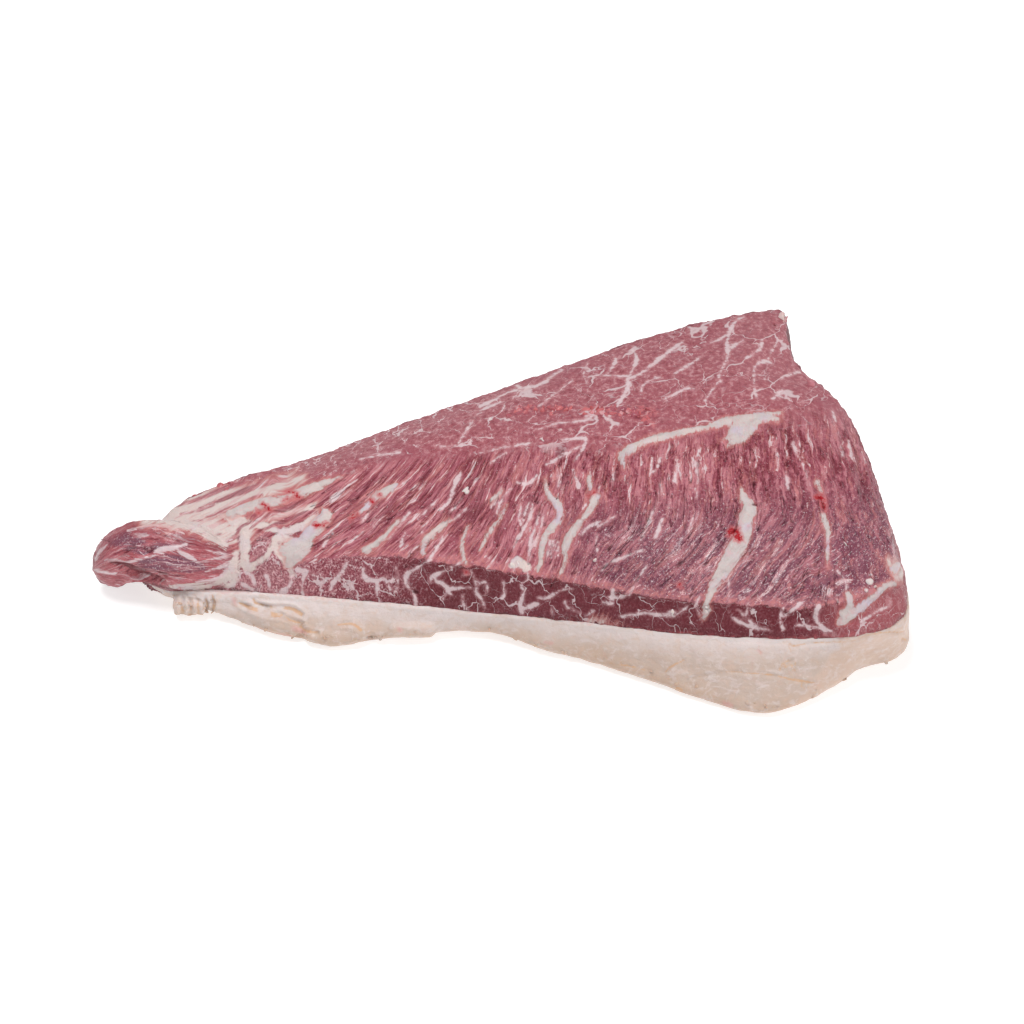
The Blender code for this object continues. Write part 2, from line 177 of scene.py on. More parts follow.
VEINS = (
    # The pale star on the plateau and its neighbours.
    ((628, 379, 4), (631, 373, 2.5), (637, 359, 3), (632, 350, 1.2)),
    ((628, 379, 4), (627, 389, 3), (621, 400, 2.4), (612, 412, 1.4), (608, 419, 0.8)),
    ((627, 376, 3), (602, 375, 1.4), (584, 376, 1.2), (588, 363, 0.8)),
    ((629, 378, 3), (641, 373, 2), (657, 361, 2.8), (672, 349, 3.2), (682, 342, 1.8)),
    ((608, 373, 1.2), (616, 361, 2.4), (613, 355, 1.4)),
    ((480, 406, 1), (508, 393, 1.3), (521, 389, 1.8), (539, 385, 2.2), (551, 377, 2.6), (562, 370, 1.4)),
    ((513, 398, 1), (521, 389, 1.8), (516, 385, 1.6)),
    ((572, 381, 0.9), (557, 392, 1), (539, 406, 0.8)),
    ((641, 394, 0.8), (643, 385, 1.7), (653, 379, 1.7), (661, 377, 0.9)),
    ((673, 380, 1), (676, 373, 1.2), (692, 363, 1.4), (699, 358, 0.8)),
    ((663, 400, 0.8), (680, 391, 1), (690, 388, 1), (697, 390, 0.7)),
    # The branching vein near the far corner.
    ((743, 317, 0.9), (735, 322, 1.8), (730, 332, 2.8), (727, 343, 1.8), (728, 351, 3.2), (727, 359, 2.4),
     (719, 375, 1.4), (721, 381, 1.8)),
    ((730, 332, 2.2), (724, 337, 1.4), (710, 343, 0.8)),
    ((728, 350, 2), (743, 340, 0.8)),
    ((762, 340, 0.8), (760, 349, 2.3), (745, 359, 0.8)),
    ((778, 340, 0.6), (768, 359, 0.8)),
    ((754, 384, 1), (755, 366, 1.4), (766, 361, 2.3), (772, 364, 1)),
    ((754, 384, 1), (756, 396, 1.4)),
    ((790, 400, 0.8), (778, 395, 2.6), (782, 390, 1.4)),
    ((778, 395, 2), (772, 399, 0.9)),
    ((782, 377, 1.4), (800, 372, 0.9)),
    ((718, 382, 1), (705, 400, 0.8)),
    # The left end of the plateau and along the ridge.
    ((457, 445, 1.6), (468, 428, 1.1), (480, 412, 1), (500, 402, 0.8)),
    ((457, 445, 1.6), (440, 447, 0.9)),
    ((480, 453, 1), (506, 447, 1.1), (531, 443, 0.9)),
    ((490, 463, 1.8), (506, 453, 1.2)),
    ((547, 465, 1.6), (561, 457, 2.6), (572, 450, 2.6), (580, 447, 1.4)),
    ((562, 440, 1.2), (584, 438, 2.2), (584, 446, 1.6), (579, 455, 1.8), (575, 461, 1)),
    ((537, 430, 0.8), (560, 423, 0.9), (586, 420, 0.9), (598, 410, 0.7)),
    ((400, 452, 1.2), (380, 455, 1.4), (360, 459, 0.9)),
    # Streaks of the slope, most of them along the grain.
    ((661, 456, 2), (657, 467, 1.4), (650, 475, 0.9)),
    ((661, 479, 1), (657, 503, 1.2), (650, 518, 0.9), (644, 533, 0.7)),
    ((696, 461, 1.8), (698, 481, 1.4), (696, 499, 0.8)),
    ((793, 443, 2), (797, 455, 1)),
    ((832, 411, 0.9), (836, 422, 1.2)),
    ((838, 433, 0.8), (843, 455, 1)),
    ((523, 520, 1.2), (529, 503, 1.4)),
    ((531, 535, 1.2), (529, 561, 0.9)),
    ((642, 550, 1.4), (624, 557, 1.8), (607, 563, 2.3), (602, 570, 1.4)),
    ((635, 535, 0.8), (611, 549, 0.9)),
    ((596, 535, 2), (597, 551, 1.6)),
    ((598, 527, 1.2), (615, 516, 1)),
    ((647, 566, 0.9), (635, 583, 1.3), (629, 596, 0.8)),
    ((323, 546, 1.4), (333, 533, 1.2)),
    ((369, 533, 1.1), (375, 521, 1.1)),
    ((400, 546, 1), (405, 533, 1)),
    ((728, 577, 0.9), (730, 596, 0.9), (728, 611, 1.2), (739, 622, 2.2), (758, 629, 3)),
    ((837, 570, 0.7), (845, 581, 0.8), (846, 592, 0.8)),
    ((421, 528, 2.2), (422, 532, 2)),
    ((521, 504, 1), (519, 517, 1.5), (521, 524, 0.8)),
    ((532, 504, 1), (530, 517, 1.5), (521, 533, 1.7), (512, 549, 0.8)),
    ((544, 511, 0.8), (541, 529, 1.2), (535, 546, 0.7)),
    ((539, 513, 0.8), (535, 529, 1.2), (530, 542, 1.7), (528, 562, 1.2)),
    ((501, 489, 1.6), (497, 496, 4), (492, 507, 2.4)),
    ((511, 488, 1), (502, 499, 2.4), (497, 513, 1)),
    ((460, 474, 3), (456, 481, 3.6), (449, 502, 1.2)),
    ((454, 493, 1.4), (447, 504, 2.8), (438, 510, 1)),
    ((463, 495, 1), (456, 506, 2.2), (450, 512, 1)),
    ((438, 499, 0.7), (427, 510, 1.2), (418, 519, 0.7)),
    ((467, 508, 0.7), (454, 519, 1.6), (441, 524, 2)),
    ((409, 513, 0.7), (400, 524, 1.4), (389, 539, 0.9)),
    ((382, 517, 0.7), (371, 531, 1.6)),
    ((373, 508, 0.7), (362, 522, 1.4)),
    ((443, 537, 1.6), (436, 549, 2.8), (431, 557, 1.4)),
    ((553, 542, 1), (551, 558, 1.7)),
    ((558, 541, 0.8), (558, 556, 1.2)),
    ((550, 541, 0.8), (546, 561, 1.2)),
    ((517, 482, 2), (528, 484, 2.6), (537, 475, 1.4)),
    ((560, 479, 2), (559, 487, 1.4)),
    ((573, 470, 1.6), (579, 487, 1.8)),
    ((599, 522, 1.2), (587, 528, 2.6), (582, 534, 1.6)),
    ((662, 519, 2), (656, 536, 3)),
    ((650, 520, 1.4), (641, 540, 2.2)),
    ((693, 517, 1.2), (688, 532, 1.8)),
    ((786, 472, 1.6), (788, 488, 2)),
    ((806, 470, 1.6), (809, 484, 1.6)),
    ((614, 470, 1.4), (612, 484, 2)),
    ((676, 466, 1.6), (674, 482, 2.2)),
)
# Webs of fat between the lumps of the cut side.
CUT_WEBS = (
    ((347, 563, 2.5), (342, 572, 4), (337, 578, 4), (332, 584, 4.5), (330, 590, 3)),
    ((363, 570, 2.5), (364, 577.5, 3.5), (370, 580, 3.5), (377, 580, 3), (387, 577, 1.5)),
    ((377, 580, 3), (377.5, 588, 2), (377.5, 595, 1)),
    ((430, 560, 2), (418, 567.5, 2), (407, 575, 4), (406, 584, 3.5), (412, 591, 2), (415, 598, 1.5),
     (416, 605, 0.8)),
    ((463, 562, 2), (452, 567, 1.4), (442, 572, 1.6), (433, 577, 4), (430, 581, 2.5)),
    ((435, 580, 2), (443, 584, 2), (448, 589, 3.5), (452, 595, 1.5)),
    ((448, 589, 3), (460, 588, 1.6), (470, 588, 1.2)),
    ((448, 589, 2), (445, 595, 1.4), (443, 600, 1)),
    ((462, 576, 1), (472, 575, 1.4), (477, 582, 2), (476, 590, 1.5), (478, 597, 1)),
    ((463, 595, 1.6), (463, 602, 1.4), (468, 610, 0.8)),
    ((390, 590, 1.2), (389, 585, 1), (393, 578, 0.8)),
    ((266, 576, 3), (269, 583, 2.5), (270, 592, 1.5)),
    ((292, 573, 3), (291, 582, 2.5), (287, 588, 2.5), (278, 592, 3)),
    ((297, 570, 5), (306, 572, 5), (303, 578, 2.5), (302, 590, 1.8), (303, 595, 1)),
    ((313, 575, 2), (322, 577, 2), (323, 583, 1.5), (320, 593, 1)),
    ((270, 592, 2), (280, 594, 4), (287, 590, 2.5)),
    ((238, 580, 2), (248, 587, 2.5), (260, 592, 1.5)),
    ((245, 572, 2), (252, 577, 2.5), (255, 585, 1.5)),
    ((351, 582, 1), (353, 590, 1.4), (350, 598, 1)),
    ((396, 568, 0.8), (398, 580, 1), (396, 592, 1)),
    ((470, 571, 2.5), (477, 585, 2.5), (476, 592, 2.5), (482, 600, 2), (485, 608, 1.2)),
    ((477, 585, 1.5), (485, 582.5, 1.2), (487, 590, 1), (485, 595, 1)),
    ((503, 583, 0.8), (505, 593, 1), (502, 598, 0.8)),
    ((528, 573, 1.2), (527, 580, 1.6), (521, 585, 1.8), (524, 592, 1)),
    ((524, 592, 2), (520, 606, 3), (522, 612, 2)),
    ((523, 608, 2.5), (530, 607, 4), (537, 604, 3.5)),
    ((539, 598, 2.5), (547, 598, 3.5), (553, 595, 1.6), (563, 590, 1), (573, 589, 0.6)),
    ((552.5, 606, 1), (553, 614, 1)),
    ((565, 602, 1.6), (567, 607, 1.8), (573, 610, 1), (580, 613, 1.2)),
    ((613, 590, 1.5), (612.5, 595, 3), (612, 598, 3.5)),
    ((607, 598, 1), (617, 598, 1.5), (628, 595, 1), (630, 592, 1.4), (637, 583, 1.6)),
    ((603, 603, 1.2), (612, 604, 2)),
    ((620, 616, 1.2), (630, 615, 2), (643, 613, 2.2), (658, 615, 2), (675, 616, 2.6)),
    ((669, 613, 2.5), (674, 612, 2.5)),
    ((675, 616, 2), (685, 609, 1.8), (688, 606, 1.2)),
    ((585, 616, 1.6), (590, 614, 2), (593, 611, 1)),
    ((738, 610, 1.6), (748, 620, 2.2), (757, 627, 2), (770, 630, 1.4)),
    ((748, 604, 1), (746, 618, 1.2)),
    ((783, 608, 1), (780, 618, 1.6), (783, 629, 1.4)),
    ((802, 602, 1.2), (790, 612, 1), (781, 618, 1)),
    ((796, 625, 1.5), (819, 628, 1.5), (835, 632, 1.2)),
    ((819, 606, 4), (815.5, 618, 4), (825, 630, 3)),
    ((861, 622, 1.5), (877, 612, 1.5), (890, 606, 1)),
    ((700, 596, 1), (696, 608, 0.8), (704, 620, 0.8)),
)
WHITE_FASCIA = (
    ((146, 520, 2), (170, 512, 6), (198, 506, 11), (222, 503, 13), (248, 496, 8), (276, 486, 4),
     (300, 478, 2)),
    ((160, 520, 3), (190, 522, 7), (215, 528, 9), (228, 534, 7), (246, 530, 6)),
    ((268, 520, 2), (290, 512, 3), (310, 507, 3)),
    ((592, 622, 1), (604, 627, 3), (617, 631, 2)),
    ((890, 562, 3), (900, 566, 6), (902, 574, 4)),
)
# Smooth white membrane, round the lobe's inner end and up to the wedge.
MEMBRANE = (
    ((230, 517, 5), (240, 524, 8), (245, 540, 6), (244, 560, 5), (248, 569, 4), (257, 563, 3),
     (266, 556, 2.5), (273, 547, 3), (278, 538, 5), (290, 541, 5)),
    ((250, 524, 4), (264, 526, 4), (276, 530, 3), (292, 530, 4), (306, 524, 4), (316, 514, 3)),
    ((511, 565, 3), (518, 562, 5), (527, 568, 4)),
    ((279, 550, 6), (287, 562, 4), (292, 575, 3)),
    ((160, 516, 2), (180, 522, 4), (198, 528, 5), (214, 537, 5), (226, 546, 3)),
    ((236, 553, 3), (235, 563, 6), (233, 572, 6), (224, 580, 4), (206, 585, 2.5), (170, 587, 1.5)),
    ((237, 580, 3), (222, 590, 3), (196, 592, 2.5)),
)
# Dark red strands and thin folds that cross the white fascia.
FASCIA_STRANDS = (
    ((254, 521, 1.2), (240, 526, 1.6), (235, 536, 1.8), (226, 541, 1.4)),
    ((239, 527, 0.8), (238, 543, 0.9), (239, 556, 0.9), (238, 570, 0.7)),
    ((176, 506, 1), (199, 499, 2.4), (220, 490, 2.6), (244, 482, 2)),
    ((199, 508, 1), (220, 500, 2.2), (250, 489, 3), (285, 477, 3)),
    ((206, 517, 0.8), (224, 511, 2), (245, 502, 2.4), (262, 495, 1.4)),
    ((180, 514, 0.8), (200, 510, 1.4), (214, 505, 1)),
    ((250, 528, 1), (268, 515, 2.4), (290, 507, 3), (318, 496, 4), (340, 488, 5)),
    ((262, 530, 1.4), (284, 521, 2.2), (304, 514, 3), (316, 512, 2)),
    ((205, 541, 1), (214, 536, 1.6), (222, 534, 1)),
    ((190, 521, 1), (203, 520, 1.2)),
    ((201, 587, 1.6), (214, 586, 2), (229, 590, 1.6)),
    ((168, 588, 1), (182, 588, 1.4), (193, 588, 1)),
)
RED_PATCHES = (
    ((259, 537, 4), (264, 543, 7), (258, 550, 7)),
)
BLOOD_SPOTS = (
    ((263, 505, 1.6), (267, 507, 1.8), (270, 510, 1)),
    ((258, 511, 1.4), (259, 513, 1)),
    ((287, 491, 1.2), (294, 494, 1.8), (299, 498, 1.4)),
    ((283, 501, 1), (289, 499, 1.4)),
    ((371, 500, 1.6), (373, 503, 1.6)),
    ((379, 495, 0.8), (380, 495.5, 0.8)),
    ((314, 525, 0.9), (322, 526, 1.4), (328, 523, 0.8)),
    ((350, 519, 1.6), (357, 514, 2)),
    ((728, 535, 2), (734, 530, 4), (738, 539, 4)),
    ((590, 495, 1.6), (594, 493, 2)),
    ((817, 497, 2), (822, 499, 3.4), (824, 510, 2.4)),
    ((680, 583, 0.8), (680.5, 588, 0.8)),
    ((466, 572, 1), (467, 573, 1)),
)
RED_BUMPS = (
    ((584, 411, 3), (596, 409, 4), (610, 411, 3)),
    ((629, 412, 3), (641, 409, 4), (654, 412, 3.4)),
    ((648, 422, 2.4), (653, 424, 2)),
    ((520, 410, 2), (532, 406, 2)),
)
# Pits in the meat: sunk, and painted near black as painted shade.
DARK_PITS = (
    ((753, 505, 1.2), (757, 504, 1.4)),
    ((822, 504, 1.6), (824, 508, 1)),
    ((414, 592, 1.6), (417, 593, 1.4)),
    ((774.5, 323.5, 1.2), (775.5, 324, 1.2)),
    ((711, 496, 0.4), (711.5, 502, 0.9), (712.5, 515, 0.4)),
    ((766, 488, 0.8), (772, 491, 0.8)),
)

# The lobe's upper and lower outline in the picture.
LOBE_TOP = ((88, 566), (92, 562), (98, 553), (107, 541), (113, 531), (121, 524), (135, 520), (150, 520),
            (166, 523), (179, 528), (196, 536), (213, 543), (226, 550), (240, 556))
LOBE_FOOT = ((88, 574), (92, 575), (113, 581), (135, 584), (160, 584), (196, 583), (226, 580), (240, 568))

# Marks on the lobe.
# Pale streaks of the lobe: partly pale strands, partly painted sheen. The two at its left end are painted
# highlight lines.
LOBE_PALE_AND_SHEEN = (
    ((96, 560, 0.8), (100, 552, 1.4), (107, 545, 0.8)),
    ((93, 569, 0.8), (102, 571, 1.6), (116, 573, 0.9)),
    ((128, 531, 1), (146, 527, 1.6), (160, 526, 1.8), (173, 529, 1.4), (184, 535, 0.8)),
    ((154, 552, 1), (160, 550, 2.2), (173, 548, 2.4), (186, 545, 1.2)),
    ((178, 551, 0.8), (186, 555, 2.4), (195, 560, 1.6)),
    ((126, 563, 1), (136, 560, 1.4), (151, 556, 0.9), (163, 554, 0.7)),
    ((105, 560, 1), (115, 560, 1.4), (124, 562, 1.4)),
    ((196, 563, 0.6), (212, 559, 0.9), (228, 557, 2)),
    ((205, 550, 0.5), (217, 553, 1), (230, 556, 2)),
    ((205, 572, 0.5), (217, 568, 1.2), (231, 563, 3.5)),
    ((222, 575, 1.5), (232, 568, 4), (234, 560, 3)),
    ((196, 581, 0.8), (214, 579, 1.8), (228, 575, 3.4)),
)
# The two purple hollows: the meat's purple, darkened partly as painted shade.
LOBE_PURPLE = (
    ((112, 541, 4), (122, 540, 8), (134, 543, 8), (146, 549, 5), (168, 545, 3), (186, 548, 2)),
    ((140, 562, 3), (158, 563, 7), (172, 562, 8), (190, 565, 6), (206, 568, 2)),
)
# Folds of the lobe: sunk, and darkened with the pits' painted shade.
LOBE_FOLDS = (
    ((110, 563, 1), (123, 566, 2), (130, 570, 2.6), (138, 574, 2.4), (150, 578, 1.2), (163, 582, 0.6)),
    ((126, 566, 0.6), (137, 571, 1), (150, 574, 1), (165, 576, 0.7)),
    ((119, 556, 0.5), (126, 551, 0.8), (133, 547, 0.6)),
    ((142, 548, 0.5), (149, 553, 0.8), (151, 547, 0.5)),
)

# Marks on the fat.
FAT_SLITS = (
    ((239, 603, 0.5), (248, 607, 0.9), (258, 610, 1.2), (270, 614, 1.6), (281, 616, 0.8)),
    ((253, 598, 0.5), (256, 603, 0.7), (267, 607, 0.8), (279, 607, 0.7), (292, 609, 0.9), (301, 614, 1)),
    ((279, 613, 0.4), (290, 620, 0.5), (302, 623, 0.4)),
    ((300, 626, 0.5), (306, 631, 0.7), (318, 633, 0.4)),
    ((338, 625, 0.4), (352, 624, 0.7), (361, 630, 0.8)),
    ((692, 678, 0.1), (727, 672, 0.2), (748, 673, 0.2), (772, 675, 0.4), (790, 679, 0.5), (803, 681, 0.6),
     (814, 683, 0.4)),
    ((789, 641, 0.3), (794, 646, 0.5), (810, 643, 0.4), (837, 642, 0.3), (849, 642, 0.3), (863, 637, 0.3),
     (880, 633, 0.3), (904, 632, 0.3)),
    ((903, 640, 0.4), (911, 640, 0.5)),
    ((789, 645, 0.3), (791, 652, 0.3)),
    ((665, 672, 0.4), (672, 666, 0.5), (684, 660, 0.4)),
    ((677, 688, 0.9), (682, 690, 0.6)),
    ((610, 663, 0.3), (640, 668, 0.5), (655, 676, 0.4)),
    # Between the strips of the torn scrap.
    ((183, 598, 0.3), (182, 606, 0.6), (183, 614, 0.7)),
    ((190, 600, 0.3), (191, 608, 0.5), (190, 616, 0.7)),
    ((198, 599, 0.3), (198, 609, 0.6), (199, 616, 0.8)),
    ((206, 598, 0.3), (207, 606, 0.5), (206, 614, 0.7)),
    ((213, 595, 0.3), (214, 603, 0.6), (213, 609, 0.7)),
)
FAT_LUMPS = (
    ((312, 634, 4), (330, 636, 7), (350, 633, 8), (358, 631, 5)),
    ((395, 630, 4), (428, 630, 5)),
    ((252, 612, 3), (276, 622, 6), (290, 626, 4)),
    ((168, 590, 3), (190, 593, 4), (228, 594, 4)),
)
FAT_NOTCHES = (
    ((372, 638, 2), (368, 646, 4)),
    ((301, 634, 1), (298, 642, 3)),
)
FAT_CRUMBLY = (
    ((782, 668, 3), (786, 664, 4), (792, 662, 4), (794, 670, 3)),
    ((800, 684, 2), (808, 686, 3)),
    ((758, 650, 1.5), (761, 654, 1.5)),
)
FAT_CREASE = ((838, 646), (828, 659), (819, 673), (813, 684), (805, 692), (791, 702), (782, 712))
PINK_STAINS = (
    ((296, 629, 3), (303, 633, 3.5)),
    ((758, 650, 1.2), (761, 653, 1)),
    ((724, 703, 2), (730, 706, 2.4)),
    ((234, 600, 1.6), (235, 604, 1)),
    ((245, 626, 1), (262, 631, 1.2), (290, 637, 1.4)),
    ((545, 642, 1), (552, 643, 0.8)),
    ((399, 628, 1.2), (401, 629, 1)),
)

# Lines in the picture beside which torn bits lie.
SHRED_EDGES = (
    ((798, 372), (812, 384), (832, 398)),
    ((775, 312), (783, 318)),
)
RED_LUMP_LINES = (
    ((584, 411), (596, 409), (610, 411), (622, 413)),
    ((629, 412), (641, 409), (656, 412)),
    ((600, 408), (640, 415), (650, 422)),
    ((520, 410), (534, 406)),
    ((505, 412), (575, 408)),
    ((186, 498), (198, 494)),
    ((214, 488), (234, 482)),
)
# Where crumbs of fat lie on the meat.
CRUMBS = ((542, 439), (543, 441), (870, 582), (867, 591), (874, 586), (672, 613), (465, 490), (467, 491),
          (490, 420), (708, 608), (706, 612), (596, 560), (845, 545), (512, 566), (518, 563))
# The pale wisp that stands up at the far corner.
CORNER_WISP = ((781, 318), (783, 322))
# The fat's lower edge, and the torn scrap below the lobe.
CHIP_EDGES = (
    ((170, 600), (186, 608), (206, 610), (240, 622), (300, 636), (356, 640), (400, 634), (430, 632)),
    ((480, 626), (520, 640), (560, 652), (600, 657), (640, 668), (680, 684), (720, 697), (780, 708)),
    ((800, 702), (830, 686), (870, 668), (904, 656)),
    ((172, 594), (180, 604), (200, 606), (212, 598)),
)

# Vectors that the meat's material reads, kept on the mesh by these names.
MEAT_LOOKS = ("grain", "roll", "net", "zones", "pale_marks", "red_marks", "lobe_marks", "zones_more",
              "cut_marks", "bands")


def smooth(value, low, high):
    """0 at low and 1 at high, with soft ends. Either may be the larger."""
    share = np.clip((value - low) / (high - low), 0, 1)
    return share * share * (3 - 2 * share)


def along_line(x, line):
    """The line's value at each x."""
    knots = np.array(line, float)
    return np.interp(x, knots[:, 0], knots[:, 1])


def camera_axes():
    """The camera's place, and its forward, right and up directions."""
    forward = np.array((0, math.cos(CAMERA_ELEVATION), -math.sin(CAMERA_ELEVATION)))
    upward = np.array((0, math.sin(CAMERA_ELEVATION), math.cos(CAMERA_ELEVATION)))
    return np.array(CAMERA_AIM) - forward * CAMERA_DISTANCE, forward, np.array((1.0, 0, 0)), upward


def picture_of(points):
    """Where points of the cut lie in the picture, as x and y in pixels."""
    place, forward, right, upward = camera_axes()
    offset = points - place
    scale = PICTURE * LENS / SENSOR / (offset @ forward)
    return PICTURE / 2 + scale * (offset @ right), PICTURE / 2 - scale * (offset @ upward)


def ray_of(x, y):
    """The camera's place and the direction of the ray through a pixel."""
    place, forward, right, upward = camera_axes()
    focal = PICTURE * LENS / SENSOR
    ray = forward + right * (x - PICTURE / 2) / focal - upward * (y - PICTURE / 2) / focal
    return Vector(place), Vector(ray).normalized()


def rounded(stroke, steps=3):
    """The stroke's points with a Catmull-Rom curve's points between them."""
    knots = np.array(stroke, float)
    padded = np.vstack([2 * knots[0] - knots[1], knots, 2 * knots[-1] - knots[-2]])
    points = []
    for before, start, end, after in zip(padded, padded[1:], padded[2:], padded[3:]):
        for t in np.linspace(0, 1, steps, endpoint=False):
            points.append(0.5 * (2 * start + (end - before) * t
                                 + (2 * before - 5 * start + 4 * end - after) * t ** 2
                                 + (3 * start - before - 3 * end + after) * t ** 3))
    return np.array(points + [knots[-1]])


def distance_to(strokes, x, y, width_share=1.0, reach=30):
    """Signed distance in pixels to the nearest stroke's edge, negative inside, at most reach."""
    spots = np.column_stack([x, y])
    nearest = np.full(len(spots), float(reach))
    for stroke in strokes:
        knots = rounded(stroke)
        low, high = knots[:, :2].min(0) - reach, knots[:, :2].max(0) + reach
        near = np.flatnonzero(np.all((spots > low) & (spots < high), axis=1))
        for start, end in zip(knots, knots[1:]):
            run = end[:2] - start[:2]
            away = spots[near] - start[:2]
            share = np.clip(away @ run / max(run @ run, 1e-9), 0, 1)
            width = (start[2] + (end[2] - start[2]) * share) * width_share
            gap = np.linalg.norm(away - share[:, None] * run, axis=1) - width
            nearest[near] = np.minimum(nearest[near], gap)
    return nearest


def noise_field(points, seed):
    """Smooth noise from about -1 to 1 at each point."""
    shift = Vector((seed, -1.7 * seed, 0.6 * seed))
    return np.array([noise.noise(Vector(point) + shift) for point in points.tolist()])


def flat_noise(across, along, seed):
    """The same noise read at two coordinates."""
    return noise_field(np.column_stack([across, along, np.zeros(len(across))]), seed)


def link(obj):
    """Puts the object into the scene."""
    bpy.context.scene.collection.objects.link(obj)
    return obj


def apply_modifiers(piece):
    """Makes the piece's evaluated shape its own mesh, and takes the modifiers off."""
    shaped = piece.evaluated_get(bpy.context.evaluated_depsgraph_get())
    mesh = bpy.data.meshes.new_from_object(shaped)
    piece.modifiers.clear()
    piece.data = mesh
    return piece


def points_of(mesh):
    """The place of each vertex, as rows."""
    values = np.empty(len(mesh.vertices) * 3, np.float32)
    mesh.vertices.foreach_get("co", values)
    return values.reshape(-1, 3).astype(float)


def normals_of(mesh):
    """The normal of each vertex, as rows."""
    values = np.empty(len(mesh.vertices) * 3, np.float32)
    mesh.vertex_normals.foreach_get("vector", values)
    return values.reshape(-1, 3).astype(float)


def keep_vectors(mesh, name, *columns):
    """Stores three numbers for each vertex under a name that the materials read."""
    store = mesh.attributes.new(name, "FLOAT_VECTOR", "POINT")
    store.data.foreach_set("vector", np.column_stack(columns).astype(np.float32).ravel())


def fine_skin(node, name, voxel, smoothing):
    """An evenly fine closed skin with the form of a CAD node."""
    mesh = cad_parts[node].data.copy()
    shape = bmesh.new()
    shape.from_mesh(mesh)
    bmesh.ops.remove_doubles(shape, verts=shape.verts, dist=0.02 * MM)
    shape.to_mesh(mesh)
    shape.free()
    mesh.materials.clear()
    piece = link(bpy.data.objects.new(name, mesh))
    rounding = piece.modifiers.new("rounding", "SUBSURF")
    rounding.levels = rounding.render_levels = 2
    grid = piece.modifiers.new("even grid", "REMESH")
    grid.mode = "VOXEL"
    grid.voxel_size = voxel
    grid.use_smooth_shade = True
    polish = piece.modifiers.new("polish", "SMOOTH")
    polish.iterations = smoothing
    polish.factor = 0.5
    return apply_modifiers(piece)


def coarsen(piece, hidden, share):
    """Thins the mesh where hidden is true, so that about share of those faces stay."""
    group = piece.vertex_groups.new(name="hidden")
    group.add(np.flatnonzero(hidden).tolist(), 1.0, "REPLACE")
    thinner = piece.modifiers.new("thinner", "DECIMATE")
    thinner.ratio = 1 - hidden.mean() * (1 - share)
    thinner.vertex_group = group.name
    apply_modifiers(piece)
    piece.vertex_groups.clear()


def soften(piece, weights, rounds):
    """Smooths the mesh where the weights are above zero."""
    group = piece.vertex_groups.new(name="soft")
    for level in range(1, 11):
        group.add(np.flatnonzero(np.round(weights * 10) == level).tolist(), level / 10, "REPLACE")
    softener = piece.modifiers.new("softener", "SMOOTH")
    softener.iterations = rounds
    softener.factor = 0.5
    softener.vertex_group = group.name
    apply_modifiers(piece)
    piece.vertex_groups.clear()


def surface_distance(node, points):
    """Distance in millimetres from each point to the surface of a CAD node."""
    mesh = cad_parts[node].data
    tree = BVHTree.FromPolygons([tuple(v.co) for v in mesh.vertices],
                                [tuple(p.vertices) for p in mesh.polygons])
    return np.array([tree.find_nearest(Vector(point))[3] for point in points.tolist()]) / MM


def lobe_coordinates(points):
    """Along the lobe from -1 to 1, round it in radians, and how far out from its middle, 1 at its skin."""
    turn = np.array(Matrix.Rotation(-LOBE_TURN, 3, "Z"))
    local = (points - LOBE_CENTRE) @ turn.T
    along = np.clip(local[:, 0] / LOBE_HALF_SIZES[0], -1.2, 1.2)
    local[:, 2] += LOBE_DROOP * np.maximum(0, -along) ** 2
    scaled = local / LOBE_HALF_SIZES
    return along, np.arctan2(scaled[:, 2], scaled[:, 1]), np.linalg.norm(scaled, axis=1)


def cell_coordinate(x, cells):
    """Counts the marbling's cells from the left, where their width changes over the picture."""
    pixels = np.arange(0, PICTURE + 1.0)
    counted = np.cumsum(1 / along_line(pixels, cells))
    return np.interp(x, pixels, counted)


class Surface:
    """What each vertex of a piece knows about its place on the cut."""

    def __init__(self, mesh):
        self.points = points_of(mesh)
        self.normals = normals_of(mesh)
        self.x, self.y = picture_of(self.points)
        to_camera = camera_axes()[0] - self.points
        to_camera /= np.linalg.norm(to_camera, axis=1)[:, None]
        self.facing = np.sum(self.normals * to_camera, axis=1)
        self.shown = smooth(self.facing, 0.0, 0.2)

    def marked(self, strokes, share=1.0):
        """Distance in millimetres to the nearest stroke, far on the sides that the camera can't see."""
        return distance_to(strokes, self.x, self.y, share) / PIXELS_PER_MM + (1 - self.shown) * UNSEEN


